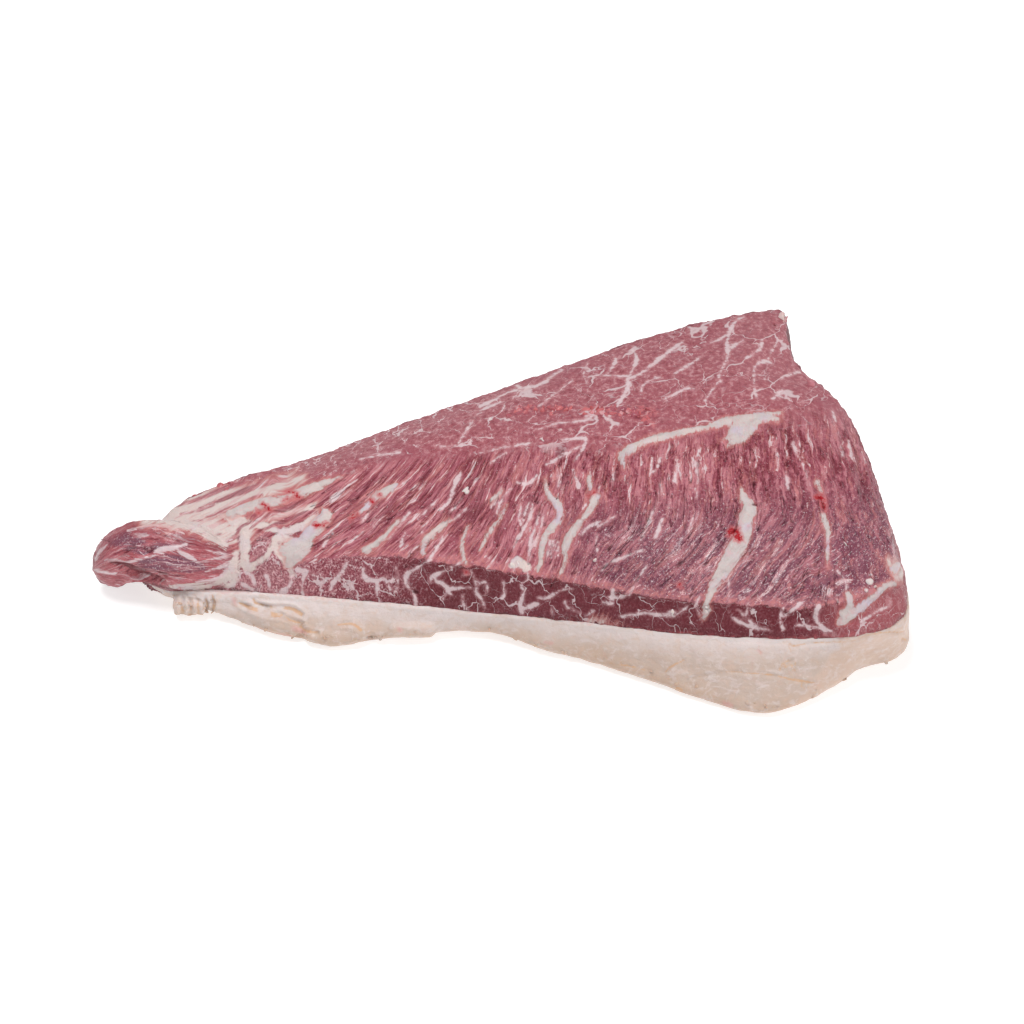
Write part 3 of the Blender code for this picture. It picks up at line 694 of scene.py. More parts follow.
class MeatSurface(Surface):
    """The meat's zones, grain and marks."""

    def __init__(self, mesh):
        super().__init__(mesh)
        self.above_seam = surface_distance("fat_cap", self.points)
        self.lobe_along, self.lobe_round, lobe_out = lobe_coordinates(self.points)
        self.lobe = 1 - smooth(lobe_out, 1.02, 1.16)
        ridge = along_line(self.x, RIDGE_LINE)
        frayed = flat_noise(self.x / 7, self.y / 40, 5.1)
        self.shoulder = along_line(self.x, SHOULDER_LINE) + 3 * frayed
        self.down = (self.y - ridge) / (self.shoulder - ridge)
        body = 1 - self.lobe
        wall = 1 - smooth(self.normals[:, 2], 0.3, 0.6)
        patch = 1 - smooth(self.marked(RED_PATCHES), -0.3, 0.3)
        self.cut = body * (self.shown * smooth(self.y - self.shoulder, -1.5, 2) + (1 - self.shown) * wall)
        self.cut = np.maximum(self.cut, patch * body)
        self.plateau = body * self.shown * (1 - smooth(self.down, -0.06, 0.1))
        self.slant = self.slant_down()
        self.grain = self.grain_coordinates()
        self.roll = self.roll_coordinates()
        self.net = self.net_coordinates()

    def fall(self):
        """How far below the middle of the slope each vertex lies, in pixels."""
        return self.y - (along_line(self.x, RIDGE_LINE) + self.shoulder) / 2

    def bend(self):
        """How much the fibres of the right half lean over, and how far below the start of that lean."""
        share = smooth(self.x, *BEND_COMES) * (1 - smooth(self.x, *BEND_GOES))
        return 0.85 * share, np.maximum(self.fall() + 8, 0)

    def slant_down(self):
        """How far a fibre moves sideways for each pixel down the slope."""
        share, past = self.bend()
        return along_line(self.x, FIBRE_SLANT) - share * smooth(past, 0, 30)

    def grain_coordinates(self):
        """Across and along the fibres in millimetres."""
        pixels = np.arange(0, PICTURE + 1.0)
        slants = along_line(pixels, FIBRE_SLANT)
        spacing = np.cumsum(1 / np.sqrt(1 + slants ** 2))
        slant = along_line(self.x, FIBRE_SLANT)
        lean = slant / np.sqrt(1 + slant ** 2)
        fall = self.fall()
        kink = 3.2 * flat_noise(self.x / 46, self.y / 21, 3.3) * smooth(self.x, *KINKS_COME)
        share, past = self.bend()
        bent = share * past ** 2 / (past + 25)
        across = np.interp(self.x, pixels, spacing) - lean * fall + kink + bent
        along = fall * np.sqrt(1 + slant ** 2) * 0.8 + 0.3 * self.x * np.abs(lean)
        walls = self.points @ np.array((1.0, -1.0, 0)) / MM
        shown = self.shown > 0.5
        across = np.where(shown, across / PIXELS_PER_MM, walls)
        along = np.where(shown, along / PIXELS_PER_MM, self.points[:, 2] / MM)
        return across, along * (1 + 0.9 * smooth(self.x, *SHORT_FIBRES_COME))

    def roll_coordinates(self):
        """Across and along the strands of the lobe in millimetres."""
        top = along_line(self.x, LOBE_TOP)
        foot = along_line(self.x, LOBE_FOOT)
        swirl = 1.6 * flat_noise(self.x / 22, self.y / 12, 9.4)
        rolled = (self.y - (top + foot) / 2) / (foot - top) * 26 + swirl
        return np.where(self.shown > 0.5, rolled, self.lobe_round * 11), self.lobe_along * 28

    def net_coordinates(self):
        """Coordinates in which the marbling's cells are about one unit wide."""
        x, y = self.x - NET_CENTRE[0], self.y - NET_CENTRE[1]
        level = x * math.cos(NET_TURN) - y * math.sin(NET_TURN) + NET_CENTRE[0]
        across = x * math.sin(NET_TURN) + y * math.cos(NET_TURN)
        plateau = (cell_coordinate(level, PLATEAU_CELLS), across / along_line(level, PLATEAU_CELLS) * 1.9)
        down = (self.y - self.shoulder) / along_line(self.x, CUT_CELLS)
        cut = (cell_coordinate(self.x, CUT_CELLS), down)
        walls = (self.points @ np.array((1.0, -1.0, 0)) / MM / 7, self.points[:, 2] / MM / 7)
        on_cut = self.y > self.shoulder
        shown = self.shown > 0.5
        return [np.where(shown, np.where(on_cut, low, top), wall)
                for low, top, wall in zip(cut, plateau, walls)]

    def run(self):
        """The direction of the fibres on the surface."""
        _, forward, right, upward = camera_axes()
        on_lobe = self.lobe > 0.5
        slant = np.where(on_lobe, 1.0, self.slant)
        fall = np.where(on_lobe, 0.0, 1.0)
        facing = np.minimum(self.normals @ forward, -0.15)
        depth = (fall * (self.normals @ upward) - slant * (self.normals @ right)) / facing
        run = slant[:, None] * right - fall[:, None] * upward + depth[:, None] * forward
        return run / np.linalg.norm(run, axis=1)[:, None]

    def strand_amount(self):
        """How many loose strands lie on the surface, from 0 to 1."""
        slope = smooth(self.shown, 0.5, 1) * (1 - self.plateau) * (1 - self.cut) * (1 - self.lobe)
        marks = smooth(self.marked(RIDGE_CREAM + SLOPE_CREAM + MEMBRANE + WHITE_FASCIA), 0.0, 1.5)
        return slope * marks * smooth(self.shoulder - self.y, 2, 8) * smooth(self.down, 0.05, 0.2)

    def lumpy(self):
        """How granular and pink the cut side is, from 0 to 1."""
        return np.maximum(1 - smooth(self.x, *LUMPS_GO), 0.12 * smooth(self.x, *LUMPS_COME_BACK))

    def threads(self):
        """How much thin fat runs between the fibres, from 0 to 1."""
        tip = (1 - smooth(self.x, *TIP_THREADS_GO)) * (1 - 0.45 * smooth(self.down, 0.5, 0.9))
        ridge = smooth(self.x, *RIDGE_THREADS_COME) * np.exp(-((self.down - 0.16) / 0.17) ** 2)
        foot = 0.35 * np.exp(-((self.down - 0.95) / 0.08) ** 2)
        return self.shown * np.clip(0.2 + 0.48 * tip + 0.55 * ridge + foot, 0, 1)

    def rim_band(self):
        """The smooth pink band along the foot of the slope, from 0 to 1."""
        above = self.shoulder - self.y
        place = self.shown * (1 - self.lobe) * smooth(self.x, *RIM_BAND_COMES)
        return place * np.exp(-((above - 3) / 5) ** 2)

    def wetness(self):
        """How purple and glossy the slope is, from 0 to 1. The gloss is real; the darker purple is partly
        painted shade of the lower slope.
        """
        low = smooth(self.down, 0.25, 0.7) * smooth(self.x, *WET_COMES)
        return self.shown * (1 - self.plateau) * (1 - self.lobe) * (1 - self.cut) * low

    def looks(self):
        """The vectors that the material reads, as three columns for each name."""
        cream = self.marked(RIDGE_CREAM + SLOPE_CREAM)
        veins = np.minimum(self.marked(VEINS, VEIN_WIDTH), self.marked(CUT_WEBS, WEB_WIDTH))
        pits = self.marked(DARK_PITS + LOBE_FOLDS)
        left_end = 1 - smooth(self.x, *LEFT_END_GOES)
        right = smooth(self.x, *LOOSE_FIBRES_COME)
        red_end = smooth(self.x, *RED_END_COMES)
        pinker = smooth(self.x, *PINKER_COMES) * (1 - smooth(self.y, *PINKER_GOES_DOWN))
        return {
            "grain": (*self.grain, np.zeros(len(self.x))),
            "roll": (*self.roll, left_end),
            "net": (*self.net, 9 * self.cut),
            "zones": (self.cut, self.plateau, self.lobe),
            "pale_marks": (cream, veins, self.marked(WHITE_FASCIA)),
            "red_marks": (self.marked(BLOOD_SPOTS), pits, self.marked(FASCIA_STRANDS)),
            "lobe_marks": (self.marked(LOBE_PALE_AND_SHEEN), self.marked(LOBE_PURPLE), self.marked(RED_BUMPS)),
            "zones_more": (self.above_seam, self.threads(), self.wetness()),
            "cut_marks": (self.marked(MEMBRANE), self.lumpy(), right),
            "bands": (self.rim_band(), pinker, red_end),
        }


class FatSurface(Surface):
    """The fat's depth under the meat, and its marks."""

    def __init__(self, mesh):
        super().__init__(mesh)
        self.depth = surface_distance("meat", self.points)
        self.slits = self.marked(FAT_SLITS, SLIT_WIDTH)
        self.crumbly = self.marked(FAT_CRUMBLY)

    def looks(self):
        """The vectors that the material reads, as three columns for each name."""
        low = 1 - np.clip(self.points[:, 2] / FOOT_TOP, 0, 1)
        crease = along_line(self.y, [(y, x) for x, y in FAT_CREASE])
        peach = self.shown * smooth(self.x - crease, -3, 5) + (1 - self.shown) * 0.5
        return {
            "fat_marks": (self.depth, self.slits, self.marked(PINK_STAINS)),
            "fat_sides": (peach, self.crumbly, low),
        }


def meat_relief(surface, settings):
    """How far each vertex of the meat moves along its normal, in millimetres. It also lowers the hem."""
    across, along = surface.grain
    fibres = flat_noise(across / 1.7, along / 16, 1.2)
    bundles = flat_noise(across / 3.6, along / 30, 7.9)
    lumps = noise_field(surface.points / (7 * MM), 4.4)
    slope = (1 - surface.plateau) * (1 - surface.cut) * (1 - surface.lobe)
    coarse = 2.2 + 1.8 * smooth(surface.x, *COARSE_BUNDLES_COME)
    relief = slope * settings.fibre_relief / MM * (0.7 * fibres + coarse * bundles)
    relief += surface.plateau * (0.18 * lumps + 0.08 * fibres)
    grit = noise_field(surface.points / (1.5 * MM), 6.6)
    relief += surface.cut * (0.45 * lumps + (0.1 + 0.25 * surface.lumpy()) * grit)
    # The grained slope ends in a soft lip over the darker cut side.
    under = (surface.y - surface.shoulder) / PIXELS_PER_MM
    lip = surface.shown * (1 - surface.lobe) * smooth(surface.x, *LIP_COMES)
    torn = 1 + 1.2 * flat_noise(surface.x / 9, np.zeros(len(across)), 6.2)
    relief += lip * 0.35 * torn * np.exp(-((under + 1.5) / 1.8) ** 2)
    relief -= lip * 0.45 * np.exp(-((under - 3.0) / 2.4) ** 2)
    # The thick fat stands proud, with a groove round it.
    cream = surface.marked(RIDGE_CREAM + SLOPE_CREAM)
    wrinkles = noise_field(surface.points / (2.4 * MM), 8.8)
    relief += settings.vein_relief / MM * (1 + 1.6 * wrinkles) * (1 - smooth(cream, -0.8, 0.5))
    relief -= 0.3 * np.exp(-((cream - 0.4) / 0.5) ** 2) * (1 - surface.plateau)
    relief += 0.5 * (1 - smooth(surface.marked(RED_BUMPS), -0.8, 0.8))
    relief -= 0.9 * (1 - smooth(surface.marked(DARK_PITS), -0.4, 0.5))
    # The lobe's folds and ribs, and the crease at its inner end.
    folds = surface.marked(LOBE_FOLDS)
    relief -= surface.lobe * 1.6 * np.exp(-(np.maximum(folds, -0.2) / 0.7) ** 2)
    relief += surface.lobe * 0.5 * flat_noise(surface.lobe_round * 7, surface.lobe_along * 2.2, 2.6)
    relief += surface.lobe * 0.5 * (1 - smooth(surface.marked(LOBE_PALE_AND_SHEEN), -0.4, 0.8))
    crease = surface.marked(FASCIA_STRANDS[:2])
    relief -= 0.5 * (1 - surface.lobe) * np.exp(-(np.maximum(crease, 0) / 0.6) ** 2)
    # The outline is slightly torn.
    rim = np.exp(-(surface.facing / 0.3) ** 2) * smooth(surface.above_seam, 2, 5)
    relief += rim * (0.4 * noise_field(surface.points / (4 * MM), 9.9)
                     + 0.35 * noise_field(surface.points / (1.8 * MM), 1.9))
    # The meat's lower edge covers the seam, and the lobe's underside hangs down to the fat.
    relief += 0.8 * (1 - smooth(surface.above_seam, 0.4, 1.8))
    hem = (1 - smooth(surface.above_seam, 0.5, 2.2)) * smooth(surface.normals[:, 2], -0.95, -0.6)
    surface.points[:, 2] -= 1.5 * MM * hem
    underside = smooth(-surface.normals[:, 2], 0.3, 0.8) * (1 - smooth(surface.x, *UNDERSIDE_GOES))
    surface.points[:, 2] -= 2.2 * MM * underside * (1 - smooth(surface.above_seam, 2.5, 5))
    return relief


def fat_relief(surface, settings):
    """How far each vertex of the fat moves along its normal, in millimetres. It also lifts the rim."""
    depth, slits, points = surface.depth, surface.slits, surface.points
    bulge = settings.bulge / MM
    side = smooth(depth, 0.4, 3) * (1 - smooth(-surface.normals[:, 2], 0.7, 0.95))
    relief = side * (bulge * noise_field(points / (15 * MM), 8.1)
                     + 0.55 * bulge * noise_field(points / (6 * MM), 2.2)
                     + 0.2 * bulge * noise_field(points / (2 * MM), 5.7))
    # Cracks with raised lips, deeper near the tip.
    opened = np.clip(0.5 + 1.3 * noise_field(points / (5 * MM), 3.9), 0.3, 1.8)
    deep = 0.35 + 0.65 * (1 - smooth(surface.x, *DEEP_CRACKS_GO))
    relief -= deep * opened * np.exp(-(np.maximum(slits, 0) / 0.4) ** 2) * side
    relief += deep * 0.5 * np.exp(-((slits - 1.1) / 0.6) ** 2) * side
    holes = 0.5 + noise_field(points / (1.3 * MM), 6.1)
    relief -= 0.7 * (1 - smooth(surface.crumbly, -1, 0.6)) * holes
    relief += 0.8 * (1 - smooth(depth, 0.4, 1.8))
    bulging = distance_to(FAT_LUMPS, surface.x, surface.y) / PIXELS_PER_MM
    notched = distance_to(FAT_NOTCHES, surface.x, surface.y) / PIXELS_PER_MM
    relief += side * 1.5 * (1 - smooth(bulging, -1, 2)) - side * 1.9 * (1 - smooth(notched, -0.5, 2))
    # The rim reaches up behind the meat's lower edge.
    rim = (1 - smooth(depth, 0.3, 1.4)) * (1 - smooth(surface.normals[:, 2], 0.5, 0.9))
    points[:, 2] += (1.5 + 1.2 * (1 - smooth(surface.x, *HIGH_RIM_GOES))) * MM * rim
    return relief


def move_along_normals(mesh, surface, relief):
    """Moves each vertex of the mesh by its relief in millimetres."""
    moved = surface.points + surface.normals * relief[:, None] * MM
    mesh.vertices.foreach_set("co", moved.astype(np.float32).ravel())
    mesh.update()


class Wire:
    """A shader socket that works in Python sums: an expression on wires adds its Math nodes."""

    def __init__(self, tree, socket=None):
        self.tree = tree
        self.socket = socket

    def node(self, kind, settings=None, sockets=None, output=0):
        """Adds a node, with its settings first and then its sockets' values or links."""
        made = self.tree.nodes.new(kind)
        for name, value in (settings or {}).items():
            setattr(made, name, value)
        for name, value in (sockets or {}).items():
            if isinstance(value, Wire):
                self.tree.links.new(value.socket, made.inputs[name])
            else:
                made.inputs[name].default_value = value
        return Wire(self.tree, made.outputs[output])

    def math(self, operation, *values, clamp=False):
        """Adds a Math node."""
        settings = {"operation": operation, "use_clamp": clamp}
        return self.node("ShaderNodeMath", settings, dict(enumerate(values)))

    def __add__(self, other):
        return self.math("ADD", self, other)

    def __radd__(self, other):
        return self.math("ADD", other, self)

    def __sub__(self, other):
        return self.math("SUBTRACT", self, other)

    def __rsub__(self, other):
        return self.math("SUBTRACT", other, self)

    def __mul__(self, other):
        return self.math("MULTIPLY", self, other)

    def __rmul__(self, other):
        return self.math("MULTIPLY", other, self)

    def __truediv__(self, other):
        return self.math("DIVIDE", self, other)

    def either(self, other):
        """The larger of two masks."""
        return self.math("MAXIMUM", self, other)

    def size(self):
        """This number without its sign."""
        return self.math("ABSOLUTE", self)

    def within(self):
        """This number held between 0 and 1."""
        return self.math("ADD", self, 0, clamp=True)

    def step(self, low, high):
        """0 at low and 1 at high, with soft ends. Either may be the larger."""
        return self.node("ShaderNodeMapRange", {"interpolation_type": "SMOOTHSTEP"},
                         {"Value": self, "From Min": low, "From Max": high})

    def mix(self, factor, other):
        """This colour blended towards another."""
        other = other if isinstance(other, Wire) else (*other, 1)
        return self.node("ShaderNodeMix", {"data_type": "RGBA"}, {0: factor, 6: self, 7: other}, 2)

    def layered(self, *layers):
        """This colour under others, each of them with its mask first."""
        result = self
        for mask, other in layers:
            result = result.mix(mask, other)
        return result

    def colour(self, value):
        """A plain colour."""
        made = self.node("ShaderNodeRGB")
        made.socket.default_value = (*value, 1)
        return made

    def stretched(self, x, y, z):
        """This vector with its parts multiplied."""
        return self.node("ShaderNodeVectorMath", {"operation": "MULTIPLY"}, {0: self, 1: (x, y, z)})

    def moved(self, x, y, z):
        """This vector with its parts added to."""
        return self.node("ShaderNodeVectorMath", {"operation": "ADD"}, {0: self, 1: (x, y, z)})

    def shaken(self, shaker, amount):
        """This vector pushed about by another pattern's colour."""
        centred = self.node("ShaderNodeVectorMath", {"operation": "SCALE"},
                            {0: shaker.moved(-0.5, -0.5, -0.5), "Scale": amount})
        return self.node("ShaderNodeVectorMath", {"operation": "ADD"}, {0: self, 1: centred})

    def grains(self, scale=1.0, detail=3.0, roughness=0.55, distortion=0.0, output=0):
        """Noise from 0 to 1 read at this vector."""
        return self.node("ShaderNodeTexNoise", {}, {"Vector": self, "Scale": scale, "Detail": detail,
                         "Roughness": roughness, "Distortion": distortion}, output)

    def cells(self, scale):
        """Distance to the walls between cells."""
        return self.node("ShaderNodeTexVoronoi", {"feature": "DISTANCE_TO_EDGE"},
                         {"Vector": self, "Scale": scale})

    def parts(self):
        """The three numbers of a vector."""
        split = self.node("ShaderNodeSeparateXYZ", {}, {0: self})
        return [Wire(self.tree, output) for output in split.socket.node.outputs]

    def kept(self, name, output="Vector"):
        """A vector or a number stored on the mesh."""
        return self.node("ShaderNodeAttribute", {"attribute_name": name}, {}, output)

    def place(self):
        """The place on the object, in metres."""
        return self.node("ShaderNodeTexCoord", {}, {}, "Object")


def new_material(name, constants):
    """A Principled material, and a loose wire to build its patterns from."""
    made = bpy.data.materials.new(name)
    made.use_nodes = True
    shader = made.node_tree.nodes["Principled BSDF"]
    for socket, value in constants.items():
        shader.inputs[socket].default_value = value
    return made, shader, Wire(made.node_tree)


def connect(shader, wires, bump_height, bump_distance):
    """Feeds the shader's varying sockets, and its normal from a height."""
    start = next(iter(wires.values()))
    normal = start.node("ShaderNodeBump", {}, {"Strength": 1.0, "Distance": bump_distance,
                                               "Height": bump_height})
    for name, wire in {**wires, "Normal": normal}.items():
        start.tree.links.new(wire.socket, shader.inputs[name])


class MeatPatterns:
    """The zones, marks and noises that the meat's colours are made of."""

    def __init__(self, wire):
        self.wire = wire
        self.cut, self.plateau, self.lobe = wire.kept("zones").parts()
        self.cream_gap, self.vein_gap, self.white_gap = wire.kept("pale_marks").parts()
        self.blood_gap, self.pit_gap, self.strand_gap = wire.kept("red_marks").parts()
        self.pale_lobe, self.purple_lobe, self.bump_gap = wire.kept("lobe_marks").parts()
        self.seam_gap, self.rich, self.wet = wire.kept("zones_more").parts()
        self.membrane_gap, self.lumpy, self.right = wire.kept("cut_marks").parts()
        self.rim_band, self.pinker, self.red_end = wire.kept("bands").parts()
        self.left_end = wire.kept("roll").parts()[2]
        place = wire.place()
        self.add_noises(place)
        self.add_fibres(place)
        self.add_webs(wire.kept("net"))

    def add_noises(self, place):
        """Noises that are the same in every direction, or nearly."""
        self.broad = place.grains(26, 2, 0.5)
        self.ragged = place.grains(420, 3, 0.65)
        self.speckle = place.grains(800, 2, 0.6)
        # Painted highlights: fine pale specks that stand in for glints of light on the meat.
        self.glint_specks = place.grains(1300, 2, 0.6).step(0.62, 0.72)
        self.grit = place.grains(1700, 2, 0.6)
        self.crumb = place.stretched(1, 1, 0.8).grains(1350, 3, 0.7)
        self.mottle = place.stretched(1, 0.62, 1).grains(560, 3, 0.7)
        self.wander = place.grains(110, 2, 0.5, 0, "Color").parts()
        self.tear = self.ragged - 0.5

    def add_fibres(self, place):
        """Noises drawn out along the fibres of the slope and the strands of the lobe."""
        slow_shake = place.grains(75, 2, 0.55, 0, "Color")
        quick_shake = place.grains(300, 2, 0.6, 0, "Color")
        grain = self.wire.kept("grain").shaken(slow_shake, 1.0 + 2.0 * self.right)
        self.grain = grain.shaken(quick_shake, 0.35 + 0.55 * self.right)
        self.roll = self.wire.kept("roll").shaken(slow_shake, 2.0).shaken(quick_shake, 0.8)
        self.fine = self.grain.stretched(1.15, 0.1, 1).grains(1, 4, 0.65, 0.25)
        self.bundles = self.grain.stretched(0.34, 0.045, 1).moved(3, 8, 0).grains(1, 3, 0.6, 0.5)
        self.strands = self.roll.stretched(0.8, 0.055, 1).grains(1, 4, 0.62, 0.6)
        self.fray = (self.fine - 0.5) * 3.2 + self.tear * 1.6

    def add_webs(self, net):
        """The marbling: walls of large cells, how thick they are, and hairs between smaller cells."""
        shaken = net.shaken(net.grains(1.1, 3, 0.6, 0, "Color"), 1.1)
        self.walls = shaken.cells(1)
        self.thickness = ((net.moved(4, 7, 1).grains(0.9, 2, 0.5) - 0.5) * 0.9).within()
        small_walls = shaken.moved(5, 3, 2).cells(2.3).step(0.035, 0.0)
        self.hairs = small_walls * net.moved(2, 1, 3).grains(1.3, 1, 0.5).step(0.52, 0.62)


def slope_colour(meat, settings):
    """The grained slope: dark and light fibres, with thin fat between some bundles. Painted shade partly
    darkens the gaps between bundles and the wet lower slope, and painted glints and specks stand in for
    highlights.
    """
    grain, right, wet, broad = meat.grain, meat.right, meat.wet, meat.broad - 0.5
    tone = meat.fine * (0.65 - 0.2 * right) + meat.bundles * (0.35 + 0.2 * right) + broad * 0.2 + 0.012
    tone = tone + meat.tear * 0.12 * right
    ruddy = grain.stretched(0.5, 0.04, 1).moved(6, 3, 9).grains(1, 3, 0.6)
    threads = grain.stretched(0.5, 0.06, 1).moved(21, 5, 2).grains(1, 3, 0.62, 0.3)
    threads = threads + meat.rich * 0.14 + broad * 0.2 - 0.07 - wet * 0.03
    # Painted shade: thin dark lines in the gaps between bundles, in the dark fibres' colour.
    shaded_gaps = grain.stretched(0.6, 0.045, 1).moved(9, 2, 5).grains(1, 2, 0.5, 0.4)
    # Painted highlights: pale glints that stand in for the sparkle of light on the wet slope.
    glints = grain.stretched(1.8, 0.9, 1).moved(4, 4, 4).grains(1, 3, 0.7)
    return meat.wire.colour(settings.dark_muscle).layered(
        (tone.step(0.42, 0.51), settings.muscle),
        (tone.step(0.515, 0.575) * 0.95, settings.light_fibre),
        # The wet lower slope: darker purple, partly the meat's own tone, partly painted shade.
        (wet * (0.85 - 0.6 * tone.step(0.50, 0.62)), settings.wet_purple_and_shade),
        (ruddy.step(0.54, 0.66) * 0.35, settings.warm),
        (threads.step(0.52, 0.60) * 0.3, settings.warm),
        (threads.step(0.58, 0.65) * 0.7, settings.thin_fat),
        (threads.step(0.63, 0.68) * 0.85, settings.pale_vein_and_glint),
        (meat.speckle.step(0.52, 0.64) * (0.15 + 0.25 * right), settings.light_fibre),
        (meat.ragged.step(0.44, 0.34) * 0.18, settings.dark_muscle),
        # Painted shade in the gaps between bundles.
        ((shaded_gaps - 0.5).size().step(0.022, 0.0) * 0.6, settings.dark_muscle),
        # Painted highlight: the pale glints on the wet part of the slope.
        (glints.step(0.57, 0.66) * wet * 0.65, settings.pale_vein_and_glint),
        (meat.rim_band * meat.ragged.step(0.3, 0.55) * 0.6, settings.light_fibre),
        (meat.rim_band * meat.speckle.step(0.42, 0.6) * 0.5, settings.warm),
        # Painted highlights: the pale specks, more of them on the wet part.
        (meat.glint_specks * (0.4 + 0.4 * wet), settings.pale_vein_and_glint))


def plateau_colour(meat, settings):
    """The flatter top: paler and mottled, with a few thin lines of fat."""
    lines = (meat.walls / (meat.thickness * 0.5 + 0.004)).step(1.0, 0.3)
    return meat.wire.colour(settings.plateau_muscle).layered(
        (meat.mottle.step(0.50, 0.64) * 0.6, settings.thin_fat),
        (meat.mottle.step(0.47, 0.36) * 0.5, settings.dark_muscle),
        (meat.ragged.step(0.5, 0.36) * 0.5, settings.muscle),
        (meat.broad.step(0.5, 0.7) * 0.5, settings.muscle),
        (meat.pinker * 0.1, settings.thin_fat),
        (lines.either(meat.hairs * 0.6) * 0.75, settings.pale_vein_and_glint))


def side_colour(meat, settings):
    """The cut side: dark and fine-grained, and granular with thick tapering webs near the tip."""
    crumb, tear, lumpy, red_end, seam = meat.crumb, meat.tear, meat.lumpy, meat.red_end, meat.seam_gap
    width = meat.thickness * (0.22 + 0.5 * lumpy) + 0.004
    webs = (meat.walls / width + tear * 0.8).step(1.1, 0.5)
    return meat.wire.colour(settings.cut_lean).layered(
        (meat.broad.step(0.4, 0.65) * 0.5, settings.dark_muscle),
        (lumpy * 0.55, settings.muscle),
        (red_end * 0.6, settings.lobe_red),
        (red_end * meat.fine.step(0.52, 0.64) * 0.35, settings.thin_fat),
        (crumb.step(0.42, 0.58) * (0.13 + 0.5 * lumpy) * (1 - 0.6 * red_end), settings.light_fibre),
        ((crumb + tear * 0.5).step(0.52, 0.64) * (0.03 + 0.85 * lumpy), settings.thin_fat),
        ((crumb + tear * 0.7).step(0.60, 0.70) * (0.1 + 0.8 * lumpy), settings.pale_vein_and_glint),
        (meat.left_end * (0.12 + 0.4 * crumb.step(0.42, 0.58)), settings.thin_fat),
        (webs.either(meat.hairs * 0.3) * 0.75, settings.pale_vein_and_glint),
        ((seam + tear * 2.5).step(1.8, 0.5) * 0.7, settings.bright_red),
        ((seam + tear * 1.5).step(1.3, 0.7) * lumpy * meat.speckle.step(0.4, 0.5), settings.fascia))


def lobe_colour(meat, settings):
    """The rolled lobe: glossy folded strands, with two purple hollows darkened partly by painted shade, and
    pale streaks and specks that are partly painted highlights.
    """
    strands = meat.strands
    # The hollows: purple meat, darkened partly with painted shade.
    hollow_purple_and_shade = (meat.purple_lobe + (strands - 0.5) * 4 + meat.tear * 2).step(1.2, -1.2)
    threadlets = meat.roll.stretched(1.8, 0.22, 1).moved(5, 5, 5).grains(1, 3, 0.65)
    return meat.wire.colour(settings.dark_muscle).layered(
        (strands.step(0.34, 0.46), settings.lobe_red),
        (strands.step(0.5, 0.6) * 0.65, settings.light_fibre),
        (hollow_purple_and_shade * (0.95 - 0.6 * strands.step(0.5, 0.58)), settings.lobe_core_and_shade),
        (strands.step(0.58, 0.67) * 0.8, settings.pale_vein_and_glint),
        (threadlets.step(0.48, 0.40) * 0.4, settings.dark_muscle),
        (threadlets.step(0.56, 0.66) * 0.45, settings.pale_vein_and_glint),
        # Painted highlights: pale specks, more of them in the dark hollows.
        (meat.crumb.step(0.56, 0.66) * (0.2 + hollow_purple_and_shade * 0.45), settings.pale_vein_and_glint),
        (meat.roll.parts()[0].step(-3, -10) * 0.5, settings.dark_muscle),
        # The lobe's pale marks, partly painted sheen lines.
        ((meat.pale_lobe + (strands - 0.5) * 2.5).step(0.25, -0.25) * 0.85, settings.pale_vein_and_glint))


def hand_placed(meat, settings, slope):
    """Layers of fat, strands, blood and pits, and the mask of the pale ones."""
    fine, tear, wander, off_lobe = meat.fine - 0.5, meat.tear, meat.wander, 1 - meat.lobe
    streaked = meat.grain.stretched(0.55, 0.03, 1).moved(2, 2, 8).grains(1, 3, 0.62)
    white_reach = meat.white_gap + (streaked - 0.5) * 9 + meat.fray * 0.2
    white_mask = white_reach.step(2.2, -1.2)
    white = meat.wire.colour(settings.fascia).layered(
        (streaked.step(0.48, 0.58) * 0.5, settings.thin_fat),
        (meat.fine.step(0.60, 0.68) * 0.45, settings.bright_red))
    skin_reach = meat.membrane_gap + (meat.strands - 0.5) * 9 * meat.lobe + tear * 3
    skin_mask = skin_reach.step(0.5, -0.5)
    skin = meat.wire.colour(settings.fascia).layered(
        (wander[1].step(0.5, 0.7) * 0.3, settings.lilac),
        (meat.ragged.step(0.55, 0.68) * 0.5, settings.thin_fat))
    vein_reach = meat.vein_gap + tear * 2.2 + (wander[0] - 0.5) * 1.6
    cream_reach = meat.cream_gap + fine * 2.2 + tear * 2.6 + (wander[2] - 0.5) * 1.5
    cream_mask = cream_reach.step(0.35, -0.5) * off_lobe
    cream = meat.wire.colour(settings.cream).layered(
        (wander[1].step(0.5, 0.7) * 0.6, settings.lilac),
        (meat.fine.step(0.52, 0.66) * 0.35, settings.thin_fat),
        (meat.ragged.step(0.47, 0.33) * 0.4, settings.thin_fat),
        (wander[0].step(0.52, 0.66) * 0.5, settings.fascia))
    strand_mask = (meat.strand_gap + meat.fray * 0.5).step(0.4, -0.4) * off_lobe
    bump_mask = (meat.bump_gap + meat.fray * 0.8).step(1.4, -0.6) * meat.mottle.step(0.42, 0.6)
    blood_reach = meat.blood_gap + tear * 3.5 + fine * 1.5
    layers = (
        (white_reach.step(4.0, 0.5) * 0.6, settings.warm),
        (white_mask, white),
        (skin_mask, skin),
        (strand_mask * 0.85, slope),
        (vein_reach.step(1.0, 0.0) * off_lobe * 0.35, settings.thin_fat),
        (vein_reach.step(0.3, -0.3) * off_lobe * 0.8, settings.pale_vein_and_glint),
        (cream_reach.step(1.5, -0.2) * off_lobe * 0.55, settings.warm),
        (cream_mask, cream),
        (bump_mask * 0.6, settings.bright_red),
        (blood_reach.step(1.4, -0.2) * 0.75, settings.bright_red),
        (blood_reach.step(0.1, -0.6) * meat.speckle.step(0.35, 0.5), settings.blood),
        # Painted shade: the pits and the lobe's folds darkened.
        ((meat.pit_gap + tear * 1.2).step(0.3, -0.3) * 0.8, settings.pit_shade))
    return layers, cream_mask.either(white_mask).either(skin_mask)


